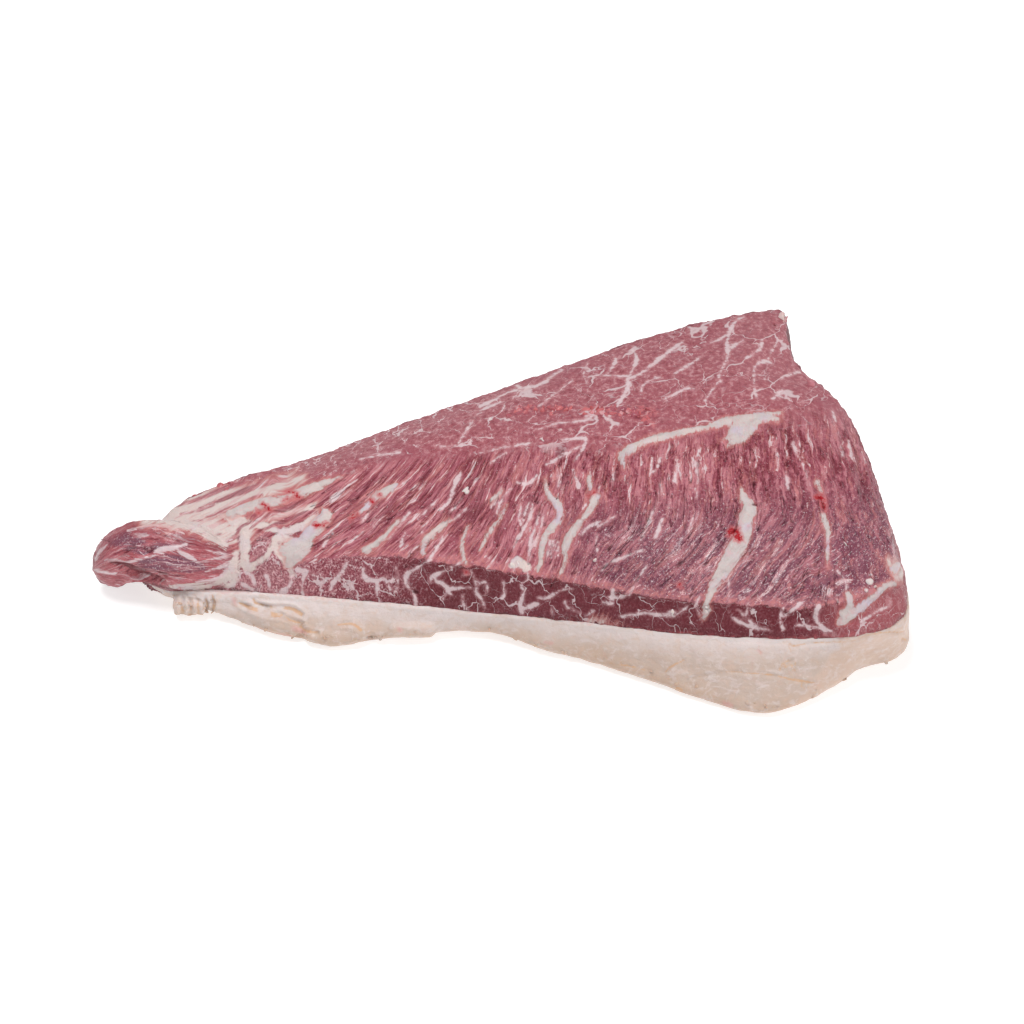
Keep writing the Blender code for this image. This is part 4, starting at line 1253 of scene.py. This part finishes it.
def meat_material(settings):
    """Raw beef: the slope, the plateau, the cut side and the lobe, with the listed marks on top."""
    made, shader, wire = new_material("raw beef", {
        "Subsurface Weight": 0.08, "Subsurface Radius": (1.0, 0.35, 0.25), "Subsurface Scale": 0.0012,
        "Specular IOR Level": 0.15, "Coat Roughness": 0.13, "Coat IOR": 1.35})
    meat = MeatPatterns(wire)
    cut, plateau, lobe, wet, ragged = meat.cut, meat.plateau, meat.lobe, meat.wet, meat.ragged
    slope = slope_colour(meat, settings)
    marks, pale = hand_placed(meat, settings, slope)
    cut_edge = cut + meat.tear * 0.8 + (meat.fine - 0.5) * 1.6
    flesh = slope.layered((plateau, plateau_colour(meat, settings)),
                          (cut_edge.step(0.35, 0.65), side_colour(meat, settings)),
                          (lobe, lobe_colour(meat, settings)), *marks)
    roughness = 0.34 + 0.3 * ragged - 0.12 * wet + 0.1 * pale + 0.08 * plateau
    coat = (0.06 + 0.45 * wet + 0.5 * lobe + 0.1 * cut) * (1 - 0.6 * pale) * ragged.step(0.35, 0.6)
    fibres = (meat.fine * 0.8 + meat.bundles * 0.7) * (1 - 0.8 * plateau) * (1 - 0.6 * pale) * (1 - lobe)
    height = fibres + meat.strands * lobe * 0.8 + ragged * 0.6 + meat.speckle * 0.3 + pale * 0.25
    height = height + meat.grit * 0.25 + meat.crumb * cut * 0.5
    connect(shader, {"Base Color": flesh, "Roughness": roughness, "Coat Weight": coat}, height, 0.0008)
    return made


def fat_material(settings):
    """Creamy fat: whiter under the meat, yellower and darker at the foot, partly as painted shade, with
    cracks and pink stains.
    """
    made, shader, wire = new_material("beef fat", {
        "Subsurface Weight": 0.35, "Subsurface Radius": (1.0, 0.65, 0.5), "Subsurface Scale": 0.003,
        "Specular IOR Level": 0.35, "Coat Roughness": 0.3})
    depth, slit_gap, stain_gap = wire.kept("fat_marks").parts()
    peach_side, crumbly_gap, low = wire.kept("fat_sides").parts()
    place = wire.place()
    broad = place.grains(32, 2, 0.5) - 0.5
    smears = place.stretched(0.6, 1, 1.3).grains(330, 4, 0.62, 0.6)
    fine = place.grains(800, 3, 0.6)
    patches = place.grains(120, 3, 0.6)
    speck, blot = fine - 0.5, patches - 0.5
    shaken = place.shaken(place.grains(120, 2, 0.6, 0, "Color"), 0.008)
    flakes = shaken.grains(260, 5, 0.72, 0.4)
    lobules = shaken.cells(150)
    crumbly = (crumbly_gap + blot * 3).step(0.3, -0.3) * fine.step(0.45, 0.6)
    fat = wire.colour(settings.upper).layered(
        (((depth - 1) / 9 + broad * 0.9).within(), settings.middle),
        # Darker and yellower at the foot: partly the fat's own tone, partly painted shade where the fat
        # turns under.
        ((low + broad * 0.9 + blot * 0.5).step(0.35, 1.0) * 0.9, settings.lower),
        (peach_side * (0.4 + 0.4 * patches), settings.peach),
        (smears.step(0.52, 0.66) * 0.5, settings.upper),
        (smears.step(0.46, 0.34) * 0.3, settings.lower),
        (flakes.step(0.54, 0.62) * 0.45, settings.upper),
        (flakes.step(0.45, 0.38) * 0.3, settings.peach),
        (lobules.step(0.05, 0.0) * patches.step(0.5, 0.6) * 0.12, settings.stain),
        ((depth + speck * 2.2 + blot * 2).step(0.9, 0.1) * 0.4, settings.stain),
        ((slit_gap + speck * 0.8).step(0.3, -0.2) * 0.8 * patches.step(0.38, 0.5), settings.slit),
        (crumbly * 0.5, settings.slit),
        ((stain_gap + blot * 2.5).step(0.9, -0.6) * 0.55, settings.stain))
    roughness = 0.38 + 0.25 * patches
    coat = patches.step(0.5, 0.7) * 0.25
    height = fine * 0.2 + patches * 0.4 + smears * 0.25 + flakes * 0.45
    connect(shader, {"Base Color": fat, "Roughness": roughness, "Coat Weight": coat}, height, 0.0009)
    return made


def bits_material(name, dark, light, rare, coat):
    """A finish for small bits: each has its own tone between two colours, and a few have a third."""
    made, shader, wire = new_material(name, {"Subsurface Weight": 0.1, "Subsurface Scale": 0.001,
                                             "Specular IOR Level": 0.2, "Coat Roughness": 0.15})
    place = wire.place()
    tone = wire.kept("tone", "Fac")
    blotches = place.grains(500, 3, 0.6)
    mixed = wire.colour(dark).mix((tone * 1.6 + blotches - 0.6).within(), light)
    mixed = mixed.mix((tone + (blotches - 0.5) * 0.6).step(0.86, 1.0) * 0.8, rare)
    connect(shader, {"Base Color": mixed, "Roughness": 0.35 + 0.25 * blotches,
                     "Coat Weight": coat * blotches}, blotches, 0.0004)
    return made


class Tree:
    """A Geometry Nodes tree in the making."""

    def __init__(self, name, numbers):
        self.group = bpy.data.node_groups.new(name, "GeometryNodeTree")
        face = self.group.interface
        face.new_socket("Geometry", in_out="INPUT", socket_type="NodeSocketGeometry")
        face.new_socket("Geometry", in_out="OUTPUT", socket_type="NodeSocketGeometry")
        self.identifiers = {}
        for label, value in numbers.items():
            kind = "NodeSocketInt" if isinstance(value, int) else "NodeSocketFloat"
            made = face.new_socket(label, in_out="INPUT", socket_type=kind)
            made.default_value = value
            self.identifiers[label] = made.identifier
        self.start = self.group.nodes.new("NodeGroupInput")

    def node(self, kind, settings=None, sockets=None, output=0):
        """Adds a node, and gives the output asked for."""
        made = self.group.nodes.new(kind)
        for name, value in (settings or {}).items():
            setattr(made, name, value)
        for name, value in (sockets or {}).items():
            if isinstance(value, bpy.types.NodeSocket):
                self.group.links.new(value, made.inputs[name])
            else:
                made.inputs[name].default_value = value
        return made.outputs[output]

    def given(self, label):
        """One of the tree's own inputs."""
        return self.start.outputs[label]

    def math(self, operation, *values):
        """Adds a Math node."""
        return self.node("ShaderNodeMath", {"operation": operation}, dict(enumerate(values)))

    def chance(self, low, high, shift):
        """A random number for each bit."""
        seed = self.math("ADD", self.given("Seed"), shift)
        return self.node("FunctionNodeRandomValue", {"data_type": "FLOAT"},
                         {2: low, 3: high, "Seed": seed}, 1)

    def kept(self, name):
        """A vector stored on the mesh."""
        return self.node("GeometryNodeInputNamedAttribute", {"data_type": "FLOAT_VECTOR"}, {"Name": name})

    def strand(self):
        """A thin arched strand of unit length that tapers to both ends."""
        arch = self.node("GeometryNodeCurveQuadraticBezier", {}, {
            "Resolution": 6, "Start": (-0.5, 0, 0), "Middle": (0, 0, 0.5), "End": (0.5, 0, 0)})
        share = self.node("GeometryNodeSplineParameter")
        fullness = self.math("MULTIPLY", share, self.math("SUBTRACT", 1.0, share))
        taper = self.math("POWER", self.math("MULTIPLY", fullness, 3.9), 0.6)
        ring = self.node("GeometryNodeCurvePrimitiveCircle", {}, {"Resolution": 5, "Radius": 0.5})
        thickness = self.math("ADD", taper, 0.05)
        return self.node("GeometryNodeCurveToMesh", {}, {
            "Curve": arch, "Profile Curve": ring, "Scale": thickness, "Fill Caps": True})

    def lump(self):
        """A round lump of unit size."""
        return self.node("GeometryNodeMeshIcoSphere", {}, {"Radius": 0.5, "Subdivisions": 3})

    def lay(self, points, shape, material, looks=()):
        """Lays the shape on each point along its run, and ends the tree in plain mesh.

        The looks are vectors of the source that the mesh takes from the spot under it.
        """
        out = self.kept("out")
        lengthwise = self.node("FunctionNodeAlignRotationToVector", {"axis": "X"},
                               {"Vector": self.kept("run")})
        turn = self.node("FunctionNodeAlignRotationToVector", {"axis": "Z", "pivot_axis": "X"},
                         {"Rotation": lengthwise, "Vector": out})
        sink = self.node("ShaderNodeVectorMath", {"operation": "SCALE"},
                         {0: out, "Scale": self.math("MULTIPLY", self.given("Sink"), -1.0)})
        sunk = self.node("GeometryNodeSetPosition", {}, {0: points, "Offset": sink})
        length = self.math("MULTIPLY", self.given("Length"), self.chance(0.35, 1.3, 1))
        width = self.math("MULTIPLY", self.given("Width"), self.chance(0.5, 1.5, 2))
        height = self.math("MULTIPLY", width, self.given("Flatness"))
        scale = self.node("ShaderNodeCombineXYZ", {}, {0: length, 1: width, 2: height})
        laid = self.node("GeometryNodeInstanceOnPoints", {}, {
            "Points": sunk, "Instance": shape, "Rotation": turn, "Scale": scale})
        toned = self.node("GeometryNodeStoreNamedAttribute", {"data_type": "FLOAT", "domain": "INSTANCE"},
                          {0: laid, "Name": "tone", 3: self.chance(0.0, 1.0, 4)})
        real = self.node("GeometryNodeRealizeInstances", {}, {0: toned})
        shake = self.node("ShaderNodeTexNoise", {}, {
            "Vector": self.node("GeometryNodeInputPosition"), "Scale": 260.0, "Detail": 1.0}, 1)
        centred = self.node("ShaderNodeVectorMath", {"operation": "SUBTRACT"},
                            {0: shake, 1: (0.5, 0.5, 0.5)})
        offset = self.node("ShaderNodeVectorMath", {"operation": "SCALE"},
                           {0: centred, "Scale": self.given("Wiggle")})
        moved = self.node("GeometryNodeSetPosition", {}, {0: real, "Offset": offset})
        soft = self.node("GeometryNodeSetShadeSmooth", {}, {0: moved})
        for name in looks:
            taken = self.node("GeometryNodeSampleNearestSurface", {"data_type": "FLOAT_VECTOR"},
                              {"Mesh": self.given("Geometry"), "Value": self.kept(name)})
            soft = self.node("GeometryNodeStoreNamedAttribute", {"data_type": "FLOAT_VECTOR"},
                             {0: soft, "Name": name, "Value": taken})
        painted = self.node("GeometryNodeSetMaterial", {}, {0: soft, "Material": material})
        end = self.group.nodes.new("NodeGroupOutput")
        self.group.links.new(painted, end.inputs[0])


def scattered(name, source, material, shape, numbers, looks=()):
    """Plain mesh of bits laid on the source: on its faces where there is a density, else on its points."""
    tree = Tree(name, numbers)
    points = tree.given("Geometry")
    if "Density" in numbers:
        amount = tree.node("ShaderNodeSeparateXYZ", {}, {0: tree.kept("amount")})
        density = tree.math("MULTIPLY", amount, tree.given("Density"))
        points = tree.node("GeometryNodeDistributePointsOnFaces", {"distribute_method": "RANDOM"},
                           {"Mesh": points, "Density": density, "Seed": tree.given("Seed")})
    tree.lay(points, getattr(tree, shape)(), material, looks)
    piece = link(bpy.data.objects.new(name, source))
    runner = piece.modifiers.new(name, "NODES")
    runner.node_group = tree.group
    for label, value in numbers.items():
        runner[tree.identifiers[label]] = value
    return apply_modifiers(piece)


def point_source(places, outs, runs):
    """A mesh of loose points that know their outward and lengthwise directions."""
    mesh = bpy.data.meshes.new("points")
    mesh.from_pydata([tuple(place) for place in places], [], [])
    keep_vectors(mesh, "out", np.array(outs))
    keep_vectors(mesh, "run", np.array(runs))
    return mesh


def hits_on(name, spots):
    """Where the camera's rays through spots of the picture meet a finished piece, and its normals there."""
    piece = bpy.data.objects[name]
    tree = BVHTree.FromObject(piece, bpy.context.evaluated_depsgraph_get())
    places, outs = [], []
    for x, y in spots:
        start, ray = ray_of(x, y)
        place, out, _, _ = tree.ray_cast(start, ray)
        if place is not None:
            places.append(place)
            outs.append(out)
    return places, outs


def along_strokes(strokes, spacing, rng, spread):
    """Random spots of the picture beside lines of (x, y), about one for each spacing in pixels."""
    spots = []
    for stroke in strokes:
        knots = np.array(stroke, float)
        for start, end in zip(knots, knots[1:]):
            steps = max(1, int(np.linalg.norm(end - start) / spacing))
            for share in rng.uniform(0, 1, steps):
                spots.append(start + (end - start) * share + rng.normal(0, spread, 2))
    return spots


def finish_piece(piece, slot, *nodes):
    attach(piece, BODY)
    if nodes:
        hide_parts(*nodes)


def tint(name, description, *default):
    """A colour that a user can change."""
    return FloatVectorProperty(name=name, description=description, subtype="COLOR", default=default)


def length(name, description, millimetres):
    """A length that a user can change."""
    return FloatProperty(name=name, description=description, unit="LENGTH", precision=5,
                         default=millimetres * MM)


class MeatSettings(bpy.types.PropertyGroup):
    """Sizes and colours of the meat."""

    grid: length("Grid", "Spacing of the meat's mesh", 0.85)
    fibre_relief: length("Fibre Relief", "Height of the fibres", 0.24)
    vein_relief: length("Vein Relief", "How far the thick fat stands proud", 0.5)
    muscle: tint("Muscle", "Colour of the slope", 0.305, 0.074, 0.102)
    dark_muscle: tint("Dark Muscle", "Colour between bundles", 0.17, 0.026, 0.040)
    light_fibre: tint("Light Fibre", "Colour of the light fibres", 0.49, 0.185, 0.215)
    thin_fat: tint("Thin Fat", "Colour of the threads of fat", 0.59, 0.32, 0.34)
    # Wet Purple is partly painted shade of the slope's lower half.
    wet_purple_and_shade: tint("Wet Purple", "Colour of the wet dark areas", 0.175, 0.056, 0.088)
    plateau_muscle: tint("Top Muscle", "Colour of the flatter top", 0.35, 0.102, 0.122)
    cut_lean: tint("Cut Lean", "Colour of the dark cut side", 0.12, 0.015, 0.022)
    lobe_red: tint("Lobe Red", "Colour of the rolled lobe", 0.43, 0.112, 0.128)
    # Lobe Core is the meat's purple, partly painted shade of the lobe's hollows.
    lobe_core_and_shade: tint("Lobe Core", "Colour of the lobe's dark middle", 0.20, 0.075, 0.11)
    # Pale Vein is the colour of the veins of fat, and also of the painted glints and specks of highlight.
    pale_vein_and_glint: tint("Pale Vein", "Colour of the veins of fat", 0.69, 0.56, 0.58)
    cream: tint("Cream", "Colour of the thick fat streaks", 0.535, 0.465, 0.452)
    fascia: tint("Fascia", "Colour of the white membrane", 0.62, 0.51, 0.485)
    warm: tint("Warm Edge", "Colour of the orange tint beside the fat", 0.58, 0.21, 0.19)
    lilac: tint("Lilac", "Cool tint of the wet fat", 0.53, 0.44, 0.55)
    blood: tint("Blood", "Colour of the blood spots", 0.36, 0.008, 0.016)
    bright_red: tint("Bright Red", "Colour of the red lumps", 0.50, 0.13, 0.14)
    # Pit is painted shade: the near black laid into the pits and folds.
    pit_shade: tint("Pit", "Colour of the dark pits", 0.10, 0.008, 0.014)


class FatSettings(bpy.types.PropertyGroup):
    """Sizes and colours of the fat cap."""

    grid: length("Grid", "Spacing of the fat's mesh", 0.75)
    bulge: length("Bulge", "Height of the fat's lumps", 0.7)
    upper: tint("Upper", "Colour just under the meat", 0.64, 0.555, 0.54)
    middle: tint("Middle", "Colour of the side", 0.515, 0.405, 0.35)
    # Lower is partly painted shade where the fat turns under at its foot.
    lower: tint("Lower", "Colour near the foot", 0.53, 0.375, 0.285)
    peach: tint("Peach", "Colour of the wide end's side", 0.61, 0.435, 0.345)
    slit: tint("Slit", "Colour in the cracks", 0.60, 0.36, 0.21)
    stain: tint("Stain", "Colour of the pink stains", 0.60, 0.30, 0.28)


class BitsSettings(bpy.types.PropertyGroup):
    """Strands on the slope, shreds and lumps on the edges, crumbs and chips of fat."""

    density: FloatProperty(name="Strand Density", description="Strands for each square metre of slope",
                           default=42000)
    strand_length: length("Strand Length", "Usual length of a strand", 10)
    strand_width: length("Strand Width", "Usual width of a strand", 1.1)
    shred_spacing: FloatProperty(name="Shred Spacing", description="Pixels of edge for each torn shred",
                                 default=6.5)
    lump_spacing: FloatProperty(name="Lump Spacing", description="Pixels of line for each red lump",
                                default=1.7)
    chip_spacing: FloatProperty(name="Chip Spacing", description="Pixels of edge for each chip of fat",
                                default=6)
    seed: IntProperty(name="Seed", description="Seed of the scattered bits", default=7)


class StageSettings(bpy.types.PropertyGroup):
    """The floor and the lights."""

    floor_colour: tint("Floor", "Colour of the floor", 0.6, 0.6, 0.6)
    key_power: FloatProperty(name="Key Power", description="Power of the soft light above",
                             default=11.5, unit="POWER")
    side_power: FloatProperty(name="Side Power", description="Power of the light at the wide end",
                              default=9, unit="POWER")
    sky: FloatProperty(name="Sky", description="Strength of the even light all round", default=0.33)


class PICANHA_OT_meat(bpy.types.Operator):
    """Makes the grained meat over its solid"""

    bl_idname = "picanha.meat"
    bl_label = "Meat"

    def execute(self, context):
        settings = context.scene.picanha_meat
        piece = fine_skin("meat", "muscle", settings.grid, smoothing=6)
        near_fat = surface_distance("fat_cap", points_of(piece.data)) < HIDDEN_DEPTH
        coarsen(piece, (normals_of(piece.data)[:, 2] < -0.6) & near_fat, HIDDEN_SHARE)
        points = points_of(piece.data)
        lobe_out = lobe_coordinates(points)[2]
        beside_lobe = smooth(lobe_out, 0.85, 0.98) * (1 - smooth(lobe_out, 1.3, 1.6))
        soften(piece, beside_lobe * smooth(points[:, 0], *LOBE_NECK), rounds=60)
        mesh = piece.data
        surface = MeatSurface(mesh)
        for name, columns in surface.looks().items():
            keep_vectors(mesh, name, *columns)
        amount = surface.strand_amount()
        keep_vectors(mesh, "amount", amount, amount, amount)
        keep_vectors(mesh, "run", surface.run())
        keep_vectors(mesh, "out", surface.normals)
        move_along_normals(mesh, surface, meat_relief(surface, settings))
        mesh.materials.append(meat_material(settings))
        finish_piece(piece, "meat", "meat")
        return {"FINISHED"}


class PICANHA_OT_fat_cap(bpy.types.Operator):
    """Makes the fat cap over its solid"""

    bl_idname = "picanha.fat_cap"
    bl_label = "Fat Cap"

    def execute(self, context):
        settings = context.scene.picanha_fat
        piece = fine_skin("fat_cap", "fat_layer", settings.grid, smoothing=5)
        points, level = points_of(piece.data), normals_of(piece.data)[:, 2]
        inner = (level > 0.6) & (surface_distance("meat", points) < HIDDEN_DEPTH)
        under = (level < -0.9) & (points[:, 2] < UNDERSIDE_TOP)
        coarsen(piece, inner | under, HIDDEN_SHARE)
        mesh = piece.data
        surface = FatSurface(mesh)
        for name, columns in surface.looks().items():
            keep_vectors(mesh, name, *columns)
        move_along_normals(mesh, surface, fat_relief(surface, settings))
        mesh.materials.append(fat_material(settings))
        finish_piece(piece, "fat", "fat_cap")
        return {"FINISHED"}


class PICANHA_OT_strands(bpy.types.Operator):
    """Lays flat strands along the grain of the slope"""

    bl_idname = "picanha.strands"
    bl_label = "Strands"

    def execute(self, context):
        settings = context.scene.picanha_bits
        source = bpy.data.objects["muscle"].data.copy()
        material = source.materials[0]
        source.materials.clear()
        piece = scattered("fibre_bundles", source, material, "strand", {
            "Length": settings.strand_length, "Width": settings.strand_width, "Sink": STRAND_SINK,
            "Flatness": STRAND_FLATNESS, "Wiggle": STRAND_WIGGLE, "Density": settings.density,
            "Seed": settings.seed}, MEAT_LOOKS)
        finish_piece(piece, "meat")
        return {"FINISHED"}


class PICANHA_OT_torn_bits(bpy.types.Operator):
    """Lays shreds, red lumps and crumbs on the meat, chips on the fat and the corner's wisp"""

    bl_idname = "picanha.torn_bits"
    bl_label = "Torn Bits"

    def execute(self, context):
        settings = context.scene.picanha_bits
        meat = context.scene.picanha_meat
        fat = context.scene.picanha_fat
        rng = np.random.default_rng(settings.seed)
        shreds = along_strokes(SHRED_EDGES, settings.shred_spacing, rng, spread=1.2)
        shred = bits_material("shred", meat.muscle, meat.light_fibre, meat.thin_fat, 0.5)
        self.lay("torn_shreds", "muscle", shreds, rng, shred, "meat")
        lumps = along_strokes(RED_LUMP_LINES, settings.lump_spacing, rng, spread=2.4)
        lump = bits_material("red lump", meat.muscle, meat.bright_red, meat.thin_fat, 0.6)
        self.lay("red_lumps", "muscle", lumps, rng, lump, "meat")
        crumb = bits_material("crumb", fat.upper, fat.upper, meat.pale_vein_and_glint, 0.1)
        self.lay("crumbs", "muscle", CRUMBS, rng, crumb, "fat")
        chips = along_strokes(CHIP_EDGES, settings.chip_spacing, rng, spread=0.8)
        chip = bits_material("fat chip", fat.middle, fat.lower, fat.peach, 0.1)
        self.lay("fat_chips", "fat_layer", chips, rng, chip, "fat")
        wisp = bits_material("corner wisp", meat.light_fibre, meat.fascia, meat.pale_vein_and_glint, 0.2)
        self.lay("corner_wisp", "muscle", CORNER_WISP, rng, wisp, "fat", WISP_RUN)
        return {"FINISHED"}

    def lay(self, name, ground, spots, rng, material, slot, run=None):
        """Lays a lump on each spot of the ground piece, at random or roughly along a run."""
        long, wide, sink, wiggle = (size * MM for size in BIT_SIZES[name])
        places, outs = hits_on(ground, spots)
        runs = rng.normal(0, 1, (len(places), 3)) * (0.35 if run else 1) + (run or (0, 0, 0))
        source = point_source(places, outs, runs / np.linalg.norm(runs, axis=1)[:, None])
        piece = scattered(name, source, material, "lump", {
            "Length": long, "Width": wide, "Sink": sink, "Flatness": BIT_FLATNESS, "Wiggle": wiggle,
            "Seed": bpy.context.scene.picanha_bits.seed})
        finish_piece(piece, slot)


class PICANHA_OT_stage(bpy.types.Operator):
    """Makes the pale floor, the soft lights and the camera"""

    bl_idname = "picanha.stage"
    bl_label = "Stage"

    def execute(self, context):
        settings = context.scene.picanha_stage
        scene = context.scene
        self.floor(settings)
        self.light("key", (-0.25, -0.1, 1.2), 0.5, settings.key_power)
        self.light("side", (1.2, -0.75, 0.75), 0.9, settings.side_power)
        world = bpy.data.worlds.new("studio")
        world.use_nodes = True
        world.node_tree.nodes["Background"].inputs["Color"].default_value = (1, 1, 1, 1)
        world.node_tree.nodes["Background"].inputs["Strength"].default_value = settings.sky
        scene.world = world
        camera = bpy.data.cameras.new("camera")
        camera.lens = LENS
        camera.sensor_width = SENSOR
        holder = link(bpy.data.objects.new("camera", camera))
        holder.location = camera_axes()[0]
        holder.rotation_euler = (math.pi / 2 - CAMERA_ELEVATION, 0, 0)
        scene.camera = holder
        scene.view_settings.view_transform = "Standard"
        return {"FINISHED"}

    def floor(self, settings):
        """A wide pale floor that glows a little, just under the cut."""
        half = FLOOR_SIZE / 2
        mesh = bpy.data.meshes.new("floor")
        corners = [(-half, -half, 0), (half, -half, 0), (half, half, 0), (-half, half, 0)]
        mesh.from_pydata(corners, [], [(0, 1, 2, 3)])
        made, shader, wire = new_material("pale floor", {
            "Roughness": 0.8, "Specular IOR Level": 0.1, "Emission Color": (1, 1, 1, 1),
            "Emission Strength": 0.62})
        mottle = wire.place().grains(3, 1, 0.5) * 0.01
        shade = wire.colour(settings.floor_colour).mix(mottle, (0.9, 0.9, 0.9))
        made.node_tree.links.new(shade.socket, shader.inputs["Base Color"])
        mesh.materials.append(made)
        floor = link(bpy.data.objects.new("floor", mesh))
        floor.location.z = -FLOOR_GAP

    def light(self, name, place, size, power):
        """A large soft light that points at the cut."""
        lamp = bpy.data.lights.new(name, "AREA")
        lamp.shape = "DISK"
        lamp.size = size
        lamp.energy = power
        holder = link(bpy.data.objects.new(name, lamp))
        holder.location = place
        holder.rotation_euler = (-Vector(place)).to_track_quat("-Z", "Y").to_euler()


class PICANHA_PT_panel(bpy.types.Panel):
    """Lists the pieces of the cut"""

    bl_idname = "PICANHA_PT_panel"
    bl_label = "Picanha"
    bl_space_type = "VIEW_3D"
    bl_region_type = "UI"
    bl_category = "Picanha"

    def draw(self, context):
        for operator in OPERATORS:
            self.layout.operator(operator.bl_idname)


SETTINGS = {"picanha_meat": MeatSettings, "picanha_fat": FatSettings, "picanha_bits": BitsSettings,
            "picanha_stage": StageSettings}
OPERATORS = (PICANHA_OT_meat, PICANHA_OT_fat_cap, PICANHA_OT_strands, PICANHA_OT_torn_bits,
             PICANHA_OT_stage)


def register():
    """Registers the classes, and hangs the settings on the scene."""
    for kind in (*SETTINGS.values(), *OPERATORS, PICANHA_PT_panel):
        bpy.utils.register_class(kind)
    for name, kind in SETTINGS.items():
        setattr(bpy.types.Scene, name, PointerProperty(type=kind))


def unregister():
    """Takes back what register does."""
    for name in SETTINGS:
        delattr(bpy.types.Scene, name)
    for kind in (PICANHA_PT_panel, *reversed(OPERATORS), *SETTINGS.values()):
        bpy.utils.unregister_class(kind)


def main():
    """Makes every piece and the stage."""
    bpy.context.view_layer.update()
    register()
    for operator in OPERATORS:
        family, name = operator.bl_idname.split(".")
        getattr(getattr(bpy.ops, family), name)()


if __name__ == "__main__":
    main()
